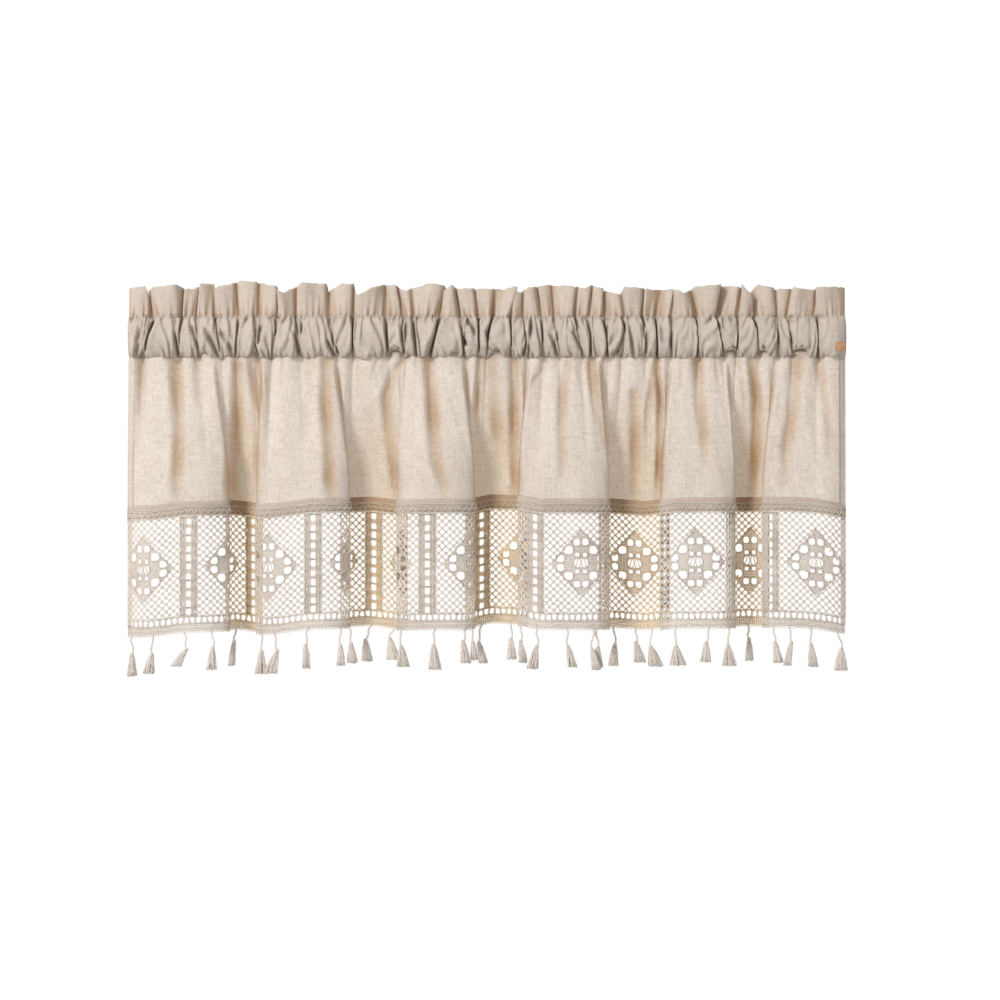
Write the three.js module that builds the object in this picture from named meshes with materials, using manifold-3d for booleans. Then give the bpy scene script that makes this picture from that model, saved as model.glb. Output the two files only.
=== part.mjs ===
import * as THREE from "three";
import { mergeVertices } from "three/addons/utils/BufferGeometryUtils.js";
import Module from "manifold-3d";

// Linen window valance: a gathered rod pocket with a ruffled header, a plain linen
// panel hanging in soft folds, a lace edging and a row of tassels.
// Millimetres. +X runs along the valance, -Y faces the room, +Z is up.
// The origin is the middle of the rod pocket.

const HALF_WIDTH = 419.6;
const POCKET_HALF = 23.4;
const PANEL_TOP = -24.2;
const SEAM = -197.5;
const LACE_TOP = -198.2;
const LACE_END = -341;
const CLOTH = 1.6;
const HEM_CLOTH = 2.8;
const HEM_BAND = 8;
const SIDE_HEM = 10;
const LACE_CLOTH = 1.4;
const HEADER_CLOTH = 2.6;
const GAP = 0.5;

// Plan section of the cloth from the seam down, a row for each hanging fold: its
// left and right edges, how far its front stands forward, how far the hollow on
// its right lies back, and how far that hollow tucks behind the fold's edges.
const FOLDS = [
  { left: -419.6, right: -302, front: 24, back: 27, tuck: 5 },
  { left: -269.5, right: -160.5, front: 20, back: 23, tuck: 11 },
  { left: -105.5, right: -14, front: 25, back: 27, tuck: 11 },
  { left: 36.5, right: 143, front: 25, back: 26, tuck: 10 },
  { left: 203, right: 290.5, front: 19, back: 26, tuck: 9 },
  { left: 322.5, right: 419.6, front: 13, back: 0, tuck: 0 },
];

// Gathers of the rod pocket, a row for each crease: where it crosses the middle
// of the pocket, how far its foot runs aside from its top, and how deep it is.
const CREASES = [
  { x: -398.5, lean: -12, depth: 1 },
  { x: -358.5, lean: -3, depth: 0.7 },
  { x: -338.5, lean: 4, depth: 0.6 },
  { x: -314, lean: 9, depth: 0.6 },
  { x: -293, lean: -3, depth: 0.6 },
  { x: -269.5, lean: -1, depth: 0.7 },
  { x: -248.5, lean: -8, depth: 0.7 },
  { x: -220.5, lean: 6, depth: 0.6 },
  { x: -180, lean: 8, depth: 0.7 },
  { x: -157, lean: -1, depth: 0.9 },
  { x: -116, lean: 3, depth: 0.6 },
  { x: -97, lean: 4, depth: 0.6 },
  { x: -83, lean: 4, depth: 0.5 },
  { x: -61, lean: -12, depth: 0.8 },
  { x: -28, lean: 6, depth: 1 },
  { x: -9.5, lean: 1, depth: 0.7 },
  { x: 2.5, lean: -8, depth: 1 },
  { x: 28, lean: 1, depth: 0.9 },
  { x: 45, lean: 5, depth: 0.7 },
  { x: 65, lean: 2, depth: 0.6 },
  { x: 82, lean: 8, depth: 0.6 },
  { x: 107, lean: 10, depth: 0.7 },
  { x: 121, lean: 1, depth: 0.6 },
  { x: 140, lean: 5, depth: 1 },
  { x: 160, lean: -5, depth: 0.6 },
  { x: 184.5, lean: 4, depth: 0.6 },
  { x: 199, lean: 2, depth: 1 },
  { x: 215.5, lean: -2, depth: 0.5 },
  { x: 246, lean: 1, depth: 1 },
  { x: 273, lean: 8, depth: 0.9 },
  { x: 293, lean: -3, depth: 0.7 },
  { x: 316.5, lean: 5, depth: 0.9 },
  { x: 340, lean: 0, depth: 0.6 },
  { x: 355, lean: 5, depth: 0.6 },
  { x: 386, lean: 2, depth: 0.9 },
];

// Top edge of the header ruffle: place along the valance and height.
const EDGE = [
  [-419.6, 59], [-402, 61], [-395, 50], [-383, 60], [-362, 62], [-357, 58], [-349, 58],
  [-338, 63.5], [-318, 64], [-315, 58.5], [-286, 67.5], [-266, 65], [-243, 59], [-237, 53],
  [-231, 57], [-214, 64.5], [-186, 63.5], [-181, 54.5], [-168, 64], [-158, 63.5],
  [-148, 50], [-139, 58.5], [-127, 63], [-98, 62], [-91, 56], [-71, 64.5], [-49, 56.5],
  [-43, 63], [-31, 58.5], [15, 58], [29, 61.5], [35, 54], [48, 58], [76, 63], [103, 60],
  [111, 58.5], [118, 63.5], [132, 59], [160, 51], [165, 60], [197, 57], [223, 58],
  [234, 52.5], [253, 60.5], [268, 63], [292, 59.5], [301, 62], [309, 47], [317, 54],
  [325, 63], [340, 57.5], [357, 59], [376, 56.5], [400, 60], [419.6, 60],
];

// How much higher or lower than even the hanging cloth ends, along the valance.
const SAG = [
  [-419.6, -8], [-388, -7], [-353, -2.5], [-298, -1], [-263, -5], [-245, -4], [-207, 1],
  [-136, 3], [-108, 0], [-60, 1], [-20, 1], [5, 6], [40, 5], [62, 1], [149, 1], [185, -2],
  [220, 2], [352, 3], [385, 1], [419.6, -5],
];

// One repeat of the lace, centred on a diamond motif, with a ladder bar halfway
// to the next one. Places across are from the motif's centre, heights from the
// middle of the lace.
const REPEAT = 107.4;
const FIRST_MOTIF = 24;
const MOTIF_MIDDLE = -261;
const BAR_OFFSET = 53.7;
const MOTIF_HOLES = [
  { across: 4, up: 22.5, wide: 5, high: 6.5 },
  { across: 13, up: 13, wide: 9.5, high: 9 },
  { across: 4.2, up: 0, wide: 5.6, high: 9 },
  { across: 24, up: 1, wide: 8, high: 7.5 },
  { across: 13, up: -13, wide: 9.5, high: 9 },
  { across: 4, up: -22.5, wide: 5, high: 6.5 },
];
const BAR_HOLES = { count: 10, pitch: 10.6, wide: 6.2, high: 6.6 };
const BAND_EDGES = [-29.5, -19, -7.6, 7.6, 19, 29.5, 46.5, 63.5];
const HOLE_SLANT = 0.5;

// Tassels in millimetres, a row each: where the cord leaves the lace, its length
// and side step, the skirt's length and side step, the skirt's half width, and how
// far the skirt hangs towards the room where it passes a neighbour.
const TASSEL_COLUMNS = ["x", "cord", "step", "skirt", "swing", "flare", "forward"];
const TASSELS = [
  [-414.5, 21, 0, 25, 1, 5.6], [-388, 21, -1, 22, -4, 7], [-353, 20, 4, 19, -12, 6.2],
  [-320, 19, 1, 25, -1, 6.2], [-298, 15, -1, 28, -3, 3.8], [-263, 20, 0, 26, -1, 6.7],
  [-248, 20, 4, 26, -7, 7.6], [-207, 18, -4, 27, 1, 4.4], [-171, 20, 0, 23, 1, 5],
  [-162, 19, 3, 22, 2, 5.6], [-136, 17, -8, 25, 2, 6.4], [-110, 12, -5, 25, 4, 8.2],
  [-101, 20, 1, 23, 2, 8.8], [-60, 18, -2, 28, 2, 8.2], [-24, 14, -4, 25, 4, 6],
  [-18.5, 16, 2, 20, 2, 4], [-6, 21, -4, 24, 6, 5.3], [29, 18, -1, 24, 1, 5.9],
  [40, 18, -1, 25, 3, 5], [59, 20, -1, 26, -5, 6.7], [93, 20, 1, 23, 6, 5.6],
  [123, 23, -1, 23, 5, 5.3, 6], [128, 21, 1, 23, 0, 5.9, -5], [149, 20, 2, 25, -2, 5.9],
  [176, 16, 0, 23, 5, 7], [194, 21, -1, 23, 6, 9.4], [220, 21, 0, 22, 3, 9.1],
  [259, 16, -4, 23, -1, 6.2], [282, 21, -1, 23, 2, 8.5], [308, 16, 2, 25, 0, 4.7],
  [335, 18, 1, 23, 4, 6.2], [352, 18, 3, 26, -4, 5], [377, 19, 1, 25, 3, 6.4],
  [410, 19, 4, 25, -1, 7.6],
];

const LINEN = new THREE.MeshStandardMaterial({ color: 0xded1c5, roughness: 0.95, metalness: 0 });
const POCKET = new THREE.MeshStandardMaterial({ color: 0xbeb4aa, roughness: 0.95, metalness: 0 });
const LACE = new THREE.MeshStandardMaterial({ color: 0xd8cfc2, roughness: 0.9, metalness: 0 });
const YARN = new THREE.MeshStandardMaterial({ color: 0xc6beb6, roughness: 0.9, metalness: 0 });
const LEATHER = new THREE.MeshStandardMaterial({ color: 0xb98b66, roughness: 0.6, metalness: 0 });

const wasm = await Module();
wasm.setup();

// Straight-line reading of a table of [place, value] pairs.
function read(table, place) {
  let i = 1;
  while (i < table.length - 1 && table[i][0] < place) i += 1;
  const [x0, y0] = table[i - 1];
  const [x1, y1] = table[i];
  const t = THREE.MathUtils.clamp((place - x0) / (x1 - x0), 0, 1);
  return y0 + (y1 - y0) * t;
}

function ease(t) {
  return THREE.MathUtils.smoothstep(t, 0, 1);
}

// The plan section's guide points: five across each fold, three in each hollow.
function guidePoints() {
  const points = [];
  FOLDS.forEach((fold, i) => {
    const width = fold.right - fold.left;
    const next = FOLDS[i + 1];
    points.push([fold.left, -0.3 * fold.front]);
    points.push([fold.left + 0.2 * width, -0.92 * fold.front]);
    points.push([fold.left + 0.5 * width, -fold.front]);
    points.push([fold.right - 0.2 * width, -0.92 * fold.front]);
    points.push([fold.right, -0.3 * fold.front]);
    if (next) {
      points.push([fold.right - fold.tuck, 0.45 * fold.back]);
      points.push([(fold.right + next.left) / 2, fold.back]);
      points.push([next.left + fold.tuck, 0.45 * fold.back]);
    }
  });
  return points.map(([x, y]) => new THREE.Vector3(x, y, 0));
}

const SECTION_STEPS = 1600;
const section = new THREE.CatmullRomCurve3(guidePoints(), false, "catmullrom", 0.5);
section.arcLengthDivisions = SECTION_STEPS;
const FLAT_WIDTH = section.getLength();
const SECTION = section.getSpacedPoints(SECTION_STEPS);

// Point of the plan section at share s of the flat width.
function hemPoint(s) {
  const place = THREE.MathUtils.clamp(s, 0, 1) * SECTION_STEPS;
  const i = Math.min(Math.floor(place), SECTION_STEPS - 1);
  return SECTION[i].clone().lerp(SECTION[i + 1], place - i);
}

const GATHER_BACK = 2.5;
const GATHER_STAND = 0.26;
const GATHER_MOST = 7;
const STOPS = [
  { x: -HALF_WIDTH, lean: 0, depth: 0.3 },
  ...CREASES,
  { x: HALF_WIDTH, lean: 0, depth: 0.3 },
];

// Where a crease crosses level z: it leans over the pocket's height only.
function creaseX(stop, z) {
  return stop.x - (stop.lean * THREE.MathUtils.clamp(z, -POCKET_HALF, POCKET_HALF)) / (2 * POCKET_HALF);
}

// Depth of the gather at share t of the way from one crease to the next.
function gatherDepth(from, to, t) {
  const crest = GATHER_BACK - Math.min(GATHER_MOST, GATHER_STAND * (to.x - from.x));
  const crease = GATHER_BACK * THREE.MathUtils.lerp(from.depth, to.depth, t);
  return THREE.MathUtils.lerp(crease, crest, Math.sin(Math.PI * t) ** 0.7);
}

function gather(x, z) {
  let i = 1;
  while (i < STOPS.length - 1 && creaseX(STOPS[i], z) < x) i += 1;
  const [from, to] = [STOPS[i - 1], STOPS[i]];
  const span = creaseX(to, z) - creaseX(from, z);
  return gatherDepth(from, to, THREE.MathUtils.clamp((x - creaseX(from, z)) / span, 0, 1));
}

// Middle surface of the hanging cloth at share s of its flat width and level z:
// fine gathers at the pocket open into the broad folds of the hem.
function clothPoint(s, z) {
  const down = THREE.MathUtils.clamp((PANEL_TOP - z) / (PANEL_TOP - SEAM), 0, 1);
  const flare = 1 + 0.08 * THREE.MathUtils.clamp((SEAM - z) / (SEAM - LACE_END), 0, 1);
  const hem = hemPoint(s);
  const topX = THREE.MathUtils.lerp(-HALF_WIDTH, HALF_WIDTH, s);
  const x = THREE.MathUtils.lerp(topX, hem.x, ease(down));
  const y = gather(topX, PANEL_TOP) * (1 - down) ** 1.5 + hem.y * ease(down) * flare;
  return new THREE.Vector3(x, y, z + read(SAG, x) * ease(down));
}

const NORMAL_STEP = 0.0015;

function clothNormal(s, z) {
  const left = clothPoint(Math.max(0, s - NORMAL_STEP), z);
  const right = clothPoint(Math.min(1, s + NORMAL_STEP), z);
  const across = right.sub(left);
  const up = clothPoint(s, z + 1).sub(clothPoint(s, z - 1));
  return across.cross(up).normalize();
}

// Closed solid from a flat pattern of [s, z] points and its triangles: both faces
// stand half the cloth's thickness off its middle surface, walled at every edge.
function thicken(pattern, triangles, thickness) {
  const count = pattern.length;
  const front = [];
  const back = [];
  pattern.forEach(([s, z]) => {
    const middle = clothPoint(s, z);
    const half = clothNormal(s, z).multiplyScalar(thickness(s, z) / 2);
    front.push(middle.clone().add(half));
    back.push(middle.clone().sub(half));
  });
  const faces = [];
  const edges = new Map();
  triangles.forEach((corners) => {
    const [a, b, c] = facingFront(pattern, corners);
    faces.push(a, b, c, a + count, c + count, b + count);
    [[a, b], [b, c], [c, a]].forEach(([p, q]) => edges.set(`${p},${q}`, [p, q]));
  });
  edges.forEach(([p, q]) => {
    if (!edges.has(`${q},${p}`)) faces.push(q, p, p + count, q, p + count, q + count);
  });
  return solidGeometry([...front, ...back], faces);
}

function facingFront(pattern, [a, b, c]) {
  const [pa, pb, pc] = [pattern[a], pattern[b], pattern[c]];
  const turn = (pb[0] - pa[0]) * (pc[1] - pa[1]) - (pb[1] - pa[1]) * (pc[0] - pa[0]);
  return turn > 0 ? [a, b, c] : [a, c, b];
}

function solidGeometry(points, faces) {
  const geometry = new THREE.BufferGeometry();
  const numbers = points.flatMap((point) => point.toArray());
  geometry.setAttribute("position", new THREE.Float32BufferAttribute(numbers, 3));
  geometry.setIndex(faces);
  geometry.computeVertexNormals();
  return geometry;
}

// Linen panel: a grid from the pocket's stitching to the seam, thicker at its hems.
const PANEL_COLUMNS = 104;
const PANEL_LEVELS = [PANEL_TOP, -52, -84, -118, -152, SEAM + HEM_BAND, SEAM];

function panelGeometry() {
  const pattern = [];
  const triangles = [];
  const side = SIDE_HEM / FLAT_WIDTH;
  const places = [0, side];
  for (let i = 1; i < PANEL_COLUMNS; i += 1) {
    places.push(THREE.MathUtils.lerp(side, 1 - side, i / PANEL_COLUMNS));
  }
  places.push(1 - side, 1);
  places.forEach((s) => PANEL_LEVELS.forEach((z) => pattern.push([s, z])));
  const rows = PANEL_LEVELS.length;
  for (let i = 0; i < places.length - 1; i += 1) {
    for (let j = 0; j < rows - 1; j += 1) {
      const a = i * rows + j;
      triangles.push([a, a + 1, a + rows], [a + 1, a + rows + 1, a + rows]);
    }
  }
  const thickness = (s, z) => (s < side || s > 1 - side || z < SEAM + HEM_BAND - 1 ? HEM_CLOTH : CLOTH);
  return thicken(pattern, triangles, thickness);
}

// Heading: the rod pocket, open from end to end, with the ruffle standing above
// it. Each station is a ring round the outside and one round the tunnel.
const BULGE_FRONT = 11;
const BULGE_BACK = 10;
const FRONT_LEVELS = [-16, -6, 6, 16];
const BACK_LEVELS = [14, 0, -14];
const TUNNEL_LEVELS = [-13, 0, 13];
const TUNNEL_END = 20;
const RUFFLE_MIDDLE = 41;
const RUFFLE_FLARE = 0.9;
const WIDE_GATHER = 27;

function bulge(z, most) {
  return most * Math.sqrt(Math.max(0, 1 - (z / POCKET_HALF) ** 2));
}

function headingStations() {
  const stations = [{ from: STOPS[0], to: STOPS[1], t: 0 }];
  for (let i = 1; i < STOPS.length; i += 1) {
    const [from, to] = [STOPS[i - 1], STOPS[i]];
    const shares = to.x - from.x > WIDE_GATHER ? [0.3, 0.7, 1] : [0.5, 1];
    shares.forEach((t) => stations.push({ from, to, t }));
  }
  return stations;
}

function headingRings({ from, to, t }) {
  const depth = gatherDepth(from, to, t);
  const half = HEADER_CLOTH / 2;
  const across = (z) => THREE.MathUtils.lerp(creaseX(from, z), creaseX(to, z), t);
  const at = (y, z) => new THREE.Vector3(across(z), y, z);
  const backDepth = 1 - 0.5 * depth;
  const frontWall = (z, cloth) => depth - bulge(z, BULGE_FRONT) - cloth;
  const backWall = (z, cloth) => backDepth + bulge(z, BULGE_BACK) + cloth;
  const top = read(EDGE, across(POCKET_HALF));
  const flute = (z) => depth * (1 + (RUFFLE_FLARE * (z - POCKET_HALF)) / (top - POCKET_HALF));
  const outer = [
    at(depth - half, -POCKET_HALF),
    ...FRONT_LEVELS.map((z) => at(frontWall(z, CLOTH / 2), z)),
    ...[POCKET_HALF, RUFFLE_MIDDLE, top].map((z) => at(flute(z) - half, z)),
    ...[top, RUFFLE_MIDDLE, POCKET_HALF].map((z) => at(flute(z) + half, z)),
    ...BACK_LEVELS.map((z) => at(backWall(z, CLOTH / 2), z)),
    at(depth + half, -POCKET_HALF),
  ];
  const tunnel = [
    at(depth, -TUNNEL_END),
    ...TUNNEL_LEVELS.map((z) => at(frontWall(z, -CLOTH / 2), z)),
    at(depth, TUNNEL_END),
    ...TUNNEL_LEVELS.toReversed().map((z) => at(backWall(z, -CLOTH / 2), z)),
  ];
  return { outer, tunnel };
}

function headingGeometry() {
  const rings = headingStations().map(headingRings);
  const points = rings.flatMap(({ outer, tunnel }) => [...outer, ...tunnel]);
  const outerCount = rings[0].outer.length;
  const stride = outerCount + rings[0].tunnel.length;
  const faces = [];
  for (let i = 0; i < rings.length - 1; i += 1) {
    for (let k = 0; k < stride; k += 1) {
      const inTunnel = k >= outerCount;
      const first = inTunnel ? outerCount : 0;
      const size = inTunnel ? stride - outerCount : outerCount;
      const next = first + ((k - first + 1) % size);
      const a = i * stride + k;
      const d = i * stride + next;
      if (inTunnel) faces.push(a, d, a + stride, a + stride, d, d + stride);
      else faces.push(a, a + stride, d, a + stride, d + stride, d);
    }
  }
  const last = rings.length - 1;
  faces.push(...ringCap(rings[last], last * stride, false), ...ringCap(rings[0], 0, true));
  return solidGeometry(points, faces);
}

// End of the heading: the band of cloth between its outside and its tunnel.
function ringCap({ outer, tunnel }, offset, facesLeft) {
  const flat = (points) => points.map((p) => new THREE.Vector2(p.y, p.z));
  const corners = [...flat(outer), ...flat(tunnel)];
  return THREE.ShapeUtils.triangulateShape(flat(outer), [flat(tunnel)]).flatMap(([a, b, c]) => {
    const turn = corners[b].clone().sub(corners[a]).cross(corners[c].clone().sub(corners[a]));
    const order = turn > 0 === facesLeft ? [a, c, b] : [a, b, c];
    return order.map((index) => index + offset);
  });
}

// Lace: upright bands across each repeat, pierced by the larger holes of the
// diamond motifs and of the ladder bars between them.
function laceHoles() {
  const holes = [];
  for (let centre = FIRST_MOTIF; centre < FLAT_WIDTH; centre += REPEAT) {
    MOTIF_HOLES.forEach((hole) => [-1, 1].forEach((side) => {
      holes.push({ ...hole, u: centre + side * hole.across, z: MOTIF_MIDDLE + hole.up });
    }));
    for (let i = 0; i < BAR_HOLES.count; i += 1) {
      const z = MOTIF_MIDDLE + (i - (BAR_HOLES.count - 1) / 2) * BAR_HOLES.pitch;
      holes.push({ ...BAR_HOLES, u: centre + BAR_OFFSET, z });
    }
  }
  return holes;
}

function laceBandEdges() {
  const edges = [0, FLAT_WIDTH];
  for (let centre = FIRST_MOTIF - REPEAT; centre < FLAT_WIDTH + REPEAT; centre += REPEAT) {
    edges.push(...BAND_EDGES.map((edge) => centre + edge).filter((u) => u > 2 && u < FLAT_WIDTH - 2));
  }
  return edges.sort((a, b) => a - b);
}

function holeCorners({ u, z, wide, high }) {
  const [w, h] = [wide / 2, high / 2];
  return [
    new THREE.Vector2(u - w, z - h + HOLE_SLANT),
    new THREE.Vector2(u - w + HOLE_SLANT, z + h),
    new THREE.Vector2(u + w, z + h - HOLE_SLANT),
    new THREE.Vector2(u + w - HOLE_SLANT, z - h),
  ];
}

function laceGeometry() {
  const edges = laceBandEdges();
  const holes = laceHoles();
  const pattern = [];
  const triangles = [];
  const known = new Map();
  const index = (point) => {
    const key = `${point.x.toFixed(3)},${point.y.toFixed(3)}`;
    if (!known.has(key)) known.set(key, pattern.push([point.x / FLAT_WIDTH, point.y]) - 1);
    return known.get(key);
  };
  for (let i = 0; i < edges.length - 1; i += 1) {
    const [left, right] = [edges[i], edges[i + 1]];
    const inBand = holes.filter((hole) => hole.u - hole.wide / 2 > left && hole.u + hole.wide / 2 < right);
    const outline = [[left, LACE_END], [right, LACE_END], [right, LACE_TOP], [left, LACE_TOP]];
    const contour = outline.map(([u, z]) => new THREE.Vector2(u, z));
    const cuts = inBand.map(holeCorners);
    const corners = [...contour, ...cuts.flat()];
    THREE.ShapeUtils.triangulateShape(contour, cuts).forEach((triangle) => {
      triangles.push(triangle.map((corner) => index(corners[corner])));
    });
  }
  return thicken(pattern, triangles, () => LACE_CLOTH);
}

// Tassel: a cord, a bound head and a skirt of locks, joined into one solid.
const CORD_RADIUS = 1.1;
const HEAD_RADIUS = 2.8;
const LOCKS = 4;
const LOCK_RADIUS = 1.3;
const STRAND_SIDES = 3;

function toSolid(geometry) {
  geometry.deleteAttribute("normal");
  geometry.deleteAttribute("uv");
  const merged = mergeVertices(geometry, 1e-4);
  const vertProperties = new Float32Array(merged.attributes.position.array);
  const triVerts = new Uint32Array(merged.index.array);
  return new wasm.Manifold(new wasm.Mesh({ numProp: 3, vertProperties, triVerts }));
}

function fromSolid(solid) {
  const { vertProperties, triVerts } = solid.getMesh();
  const geometry = new THREE.BufferGeometry();
  geometry.setAttribute("position", new THREE.BufferAttribute(new Float32Array(vertProperties), 3));
  geometry.setIndex(Array.from(triVerts));
  geometry.computeVertexNormals();
  return geometry;
}

// Straight three-sided strand, its sides square to the line it follows.
function strand(from, to, startRadius, endRadius) {
  const along = to.clone().sub(from).normalize();
  const side = new THREE.Vector3(0, 1, 0).cross(along).normalize();
  const turned = along.clone().cross(side);
  const ring = (centre, radius) => Array.from({ length: STRAND_SIDES }, (_, k) => {
    const angle = (2 * Math.PI * k) / STRAND_SIDES;
    const reach = side.clone().multiplyScalar(radius * Math.cos(angle));
    return centre.clone().add(reach).addScaledVector(turned, radius * Math.sin(angle));
  });
  const faces = [0, 2, 1, 3, 4, 5];
  for (let k = 0; k < STRAND_SIDES; k += 1) {
    const next = (k + 1) % STRAND_SIDES;
    faces.push(k, next, next + STRAND_SIDES, k, next + STRAND_SIDES, k + STRAND_SIDES);
  }
  return toSolid(solidGeometry([...ring(from, startRadius), ...ring(to, endRadius)], faces));
}

// Lower edge of the lace at place x, on the layer nearest the room.
function laceFoot(x) {
  const steps = 1200;
  let nearest = null;
  let before = clothPoint(0, LACE_END);
  for (let i = 1; i <= steps; i += 1) {
    const here = clothPoint(i / steps, LACE_END);
    const crosses = (before.x - x) * (here.x - x) <= 0;
    if (crosses && (!nearest || here.y < nearest.y)) nearest = here;
    before = here;
  }
  return nearest;
}

function tasselGeometry({ x, cord, step, skirt, swing, flare, forward = 0 }) {
  const top = laceFoot(x).setX(x);
  top.z -= GAP;
  const neck = top.clone().add(new THREE.Vector3(step, -0.4 * forward, -cord));
  const foot = neck.clone().add(new THREE.Vector3(swing, -0.6 * forward, -skirt));
  const head = new THREE.SphereGeometry(HEAD_RADIUS, 4, 2);
  head.rotateX(Math.PI / 2);
  head.translate(neck.x, neck.y, neck.z);
  let solid = toSolid(head).add(strand(top, neck, CORD_RADIUS, CORD_RADIUS));
  for (let i = 0; i < LOCKS; i += 1) {
    const angle = (2 * Math.PI * (i + 0.25)) / LOCKS;
    const spread = new THREE.Vector3(Math.cos(angle), 0.6 * Math.sin(angle), 0);
    const root = neck.clone().addScaledVector(spread, 0.5 * LOCK_RADIUS);
    const tip = foot.clone().addScaledVector(spread, flare - LOCK_RADIUS);
    tip.z += i % 2;
    solid = solid.add(strand(root, tip, 0.8 * LOCK_RADIUS, LOCK_RADIUS));
  }
  return fromSolid(solid);
}

// Small tan tab, folded once, lying on the pocket's front at its right end.
const TAB = { x: 412, z: -11, wide: 12, high: 9.5, leaf: 1.1, slot: 0.6 };

function tabGeometry() {
  const depth = 2 * TAB.leaf + TAB.slot;
  const half = TAB.wide / 2;
  const bend = depth / 2;
  const shape = new THREE.Shape();
  shape.moveTo(-half, 0);
  shape.lineTo(half - bend, 0);
  shape.absarc(half - bend, bend, bend, -Math.PI / 2, Math.PI / 2, false);
  shape.lineTo(-half, depth);
  shape.lineTo(-half, depth - TAB.leaf);
  shape.lineTo(half - bend, depth - TAB.leaf);
  shape.lineTo(half - bend, TAB.leaf);
  shape.lineTo(-half, TAB.leaf);
  const options = { depth: TAB.high, bevelEnabled: false, curveSegments: 6 };
  const geometry = new THREE.ExtrudeGeometry(shape, options);
  geometry.translate(0, 0, -TAB.high / 2);
  return fromSolid(toSolid(geometry));
}

// The tab lies along the pocket's wall, which slopes back towards its foot.
function placeTab(mesh) {
  const wall = (z) => gather(TAB.x, z) - bulge(z, BULGE_FRONT) - CLOTH / 2;
  const [low, high] = [FRONT_LEVELS[0], FRONT_LEVELS[1]];
  const slope = Math.atan2(wall(high) - wall(low), high - low);
  const clear = 2 * TAB.leaf + TAB.slot + 3 * GAP;
  const here = THREE.MathUtils.lerp(wall(low), wall(high), (TAB.z - low) / (high - low));
  mesh.rotation.x = -slope;
  mesh.position.set(TAB.x, here - clear, TAB.z);
}

const valance = new THREE.Group();

function addPart(name, geometry, material) {
  const mesh = new THREE.Mesh(geometry, material);
  mesh.name = name;
  valance.add(mesh);
  return mesh;
}

addPart("heading", headingGeometry(), POCKET);
addPart("panel", panelGeometry(), LINEN);
addPart("lace", laceGeometry(), LACE);
placeTab(addPart("tab", tabGeometry(), LEATHER));
TASSELS.forEach((row, i) => {
  const sizes = Object.fromEntries(TASSEL_COLUMNS.map((column, k) => [column, row[k]]));
  addPart(`tassel_${String(i + 1).padStart(2, "0")}`, tasselGeometry(sizes), YARN);
});

export default valance;
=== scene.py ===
"""Linen window valance: gathered rod pocket, soft linen panel, lace edging and tassels.

Lengths in the tables are millimetres in the frame's own axes: X along the valance,
-Y towards the room, Z up, with the origin in the middle of the rod pocket.
"""

import math
import random

import bpy
import numpy as np
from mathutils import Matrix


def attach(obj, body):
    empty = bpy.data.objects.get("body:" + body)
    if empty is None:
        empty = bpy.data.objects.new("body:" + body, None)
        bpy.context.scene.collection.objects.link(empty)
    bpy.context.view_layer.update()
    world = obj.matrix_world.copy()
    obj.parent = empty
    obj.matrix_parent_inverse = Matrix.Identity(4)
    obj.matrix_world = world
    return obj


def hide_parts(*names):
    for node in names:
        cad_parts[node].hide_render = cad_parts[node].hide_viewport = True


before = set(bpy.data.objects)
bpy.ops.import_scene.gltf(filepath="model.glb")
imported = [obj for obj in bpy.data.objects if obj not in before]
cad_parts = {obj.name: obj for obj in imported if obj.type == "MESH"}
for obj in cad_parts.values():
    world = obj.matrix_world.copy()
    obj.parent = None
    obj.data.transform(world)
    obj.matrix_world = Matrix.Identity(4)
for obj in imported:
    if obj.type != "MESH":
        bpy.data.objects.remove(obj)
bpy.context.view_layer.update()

MM = 0.001
HALF_WIDTH = 419.6
POCKET_HALF = 23.4
PANEL_TOP = -24.2
SEAM = -197.5
LACE_END = -341.0

# Hanging folds: left and right edge, how far the front stands forward, how far
# the hollow on the right lies back, and how far it tucks behind the fold's edges.
FOLDS = [
    (-419.6, -302.0, 24, 27, 5),
    (-269.5, -160.5, 20, 23, 11),
    (-105.5, -14.0, 25, 27, 11),
    (36.5, 143.0, 25, 26, 10),
    (203.0, 290.5, 19, 26, 9),
    (322.5, 419.6, 13, 0, 0),
]

# Pocket creases: place at mid height, lean from top to foot, and depth as a share
# of GATHER_BACK.
CREASES = [
    (-398.5, -12, 1), (-358.5, -3, 0.7), (-338.5, 4, 0.6), (-314, 9, 0.6), (-293, -3, 0.6),
    (-269.5, -1, 0.7), (-248.5, -8, 0.7), (-220.5, 6, 0.6), (-180, 8, 0.7), (-157, -1, 0.9),
    (-116, 3, 0.6), (-97, 4, 0.6), (-83, 4, 0.5), (-61, -12, 0.8), (-28, 6, 1), (-9.5, 1, 0.7),
    (2.5, -8, 1), (28, 1, 0.9), (45, 5, 0.7), (65, 2, 0.6), (82, 8, 0.6), (107, 10, 0.7),
    (121, 1, 0.6), (140, 5, 1), (160, -5, 0.6), (184.5, 4, 0.6), (199, 2, 1), (215.5, -2, 0.5),
    (246, 1, 1), (273, 8, 0.9), (293, -3, 0.7), (316.5, 5, 0.9), (340, 0, 0.6), (355, 5, 0.6),
    (386, 2, 0.9),
]

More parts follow.
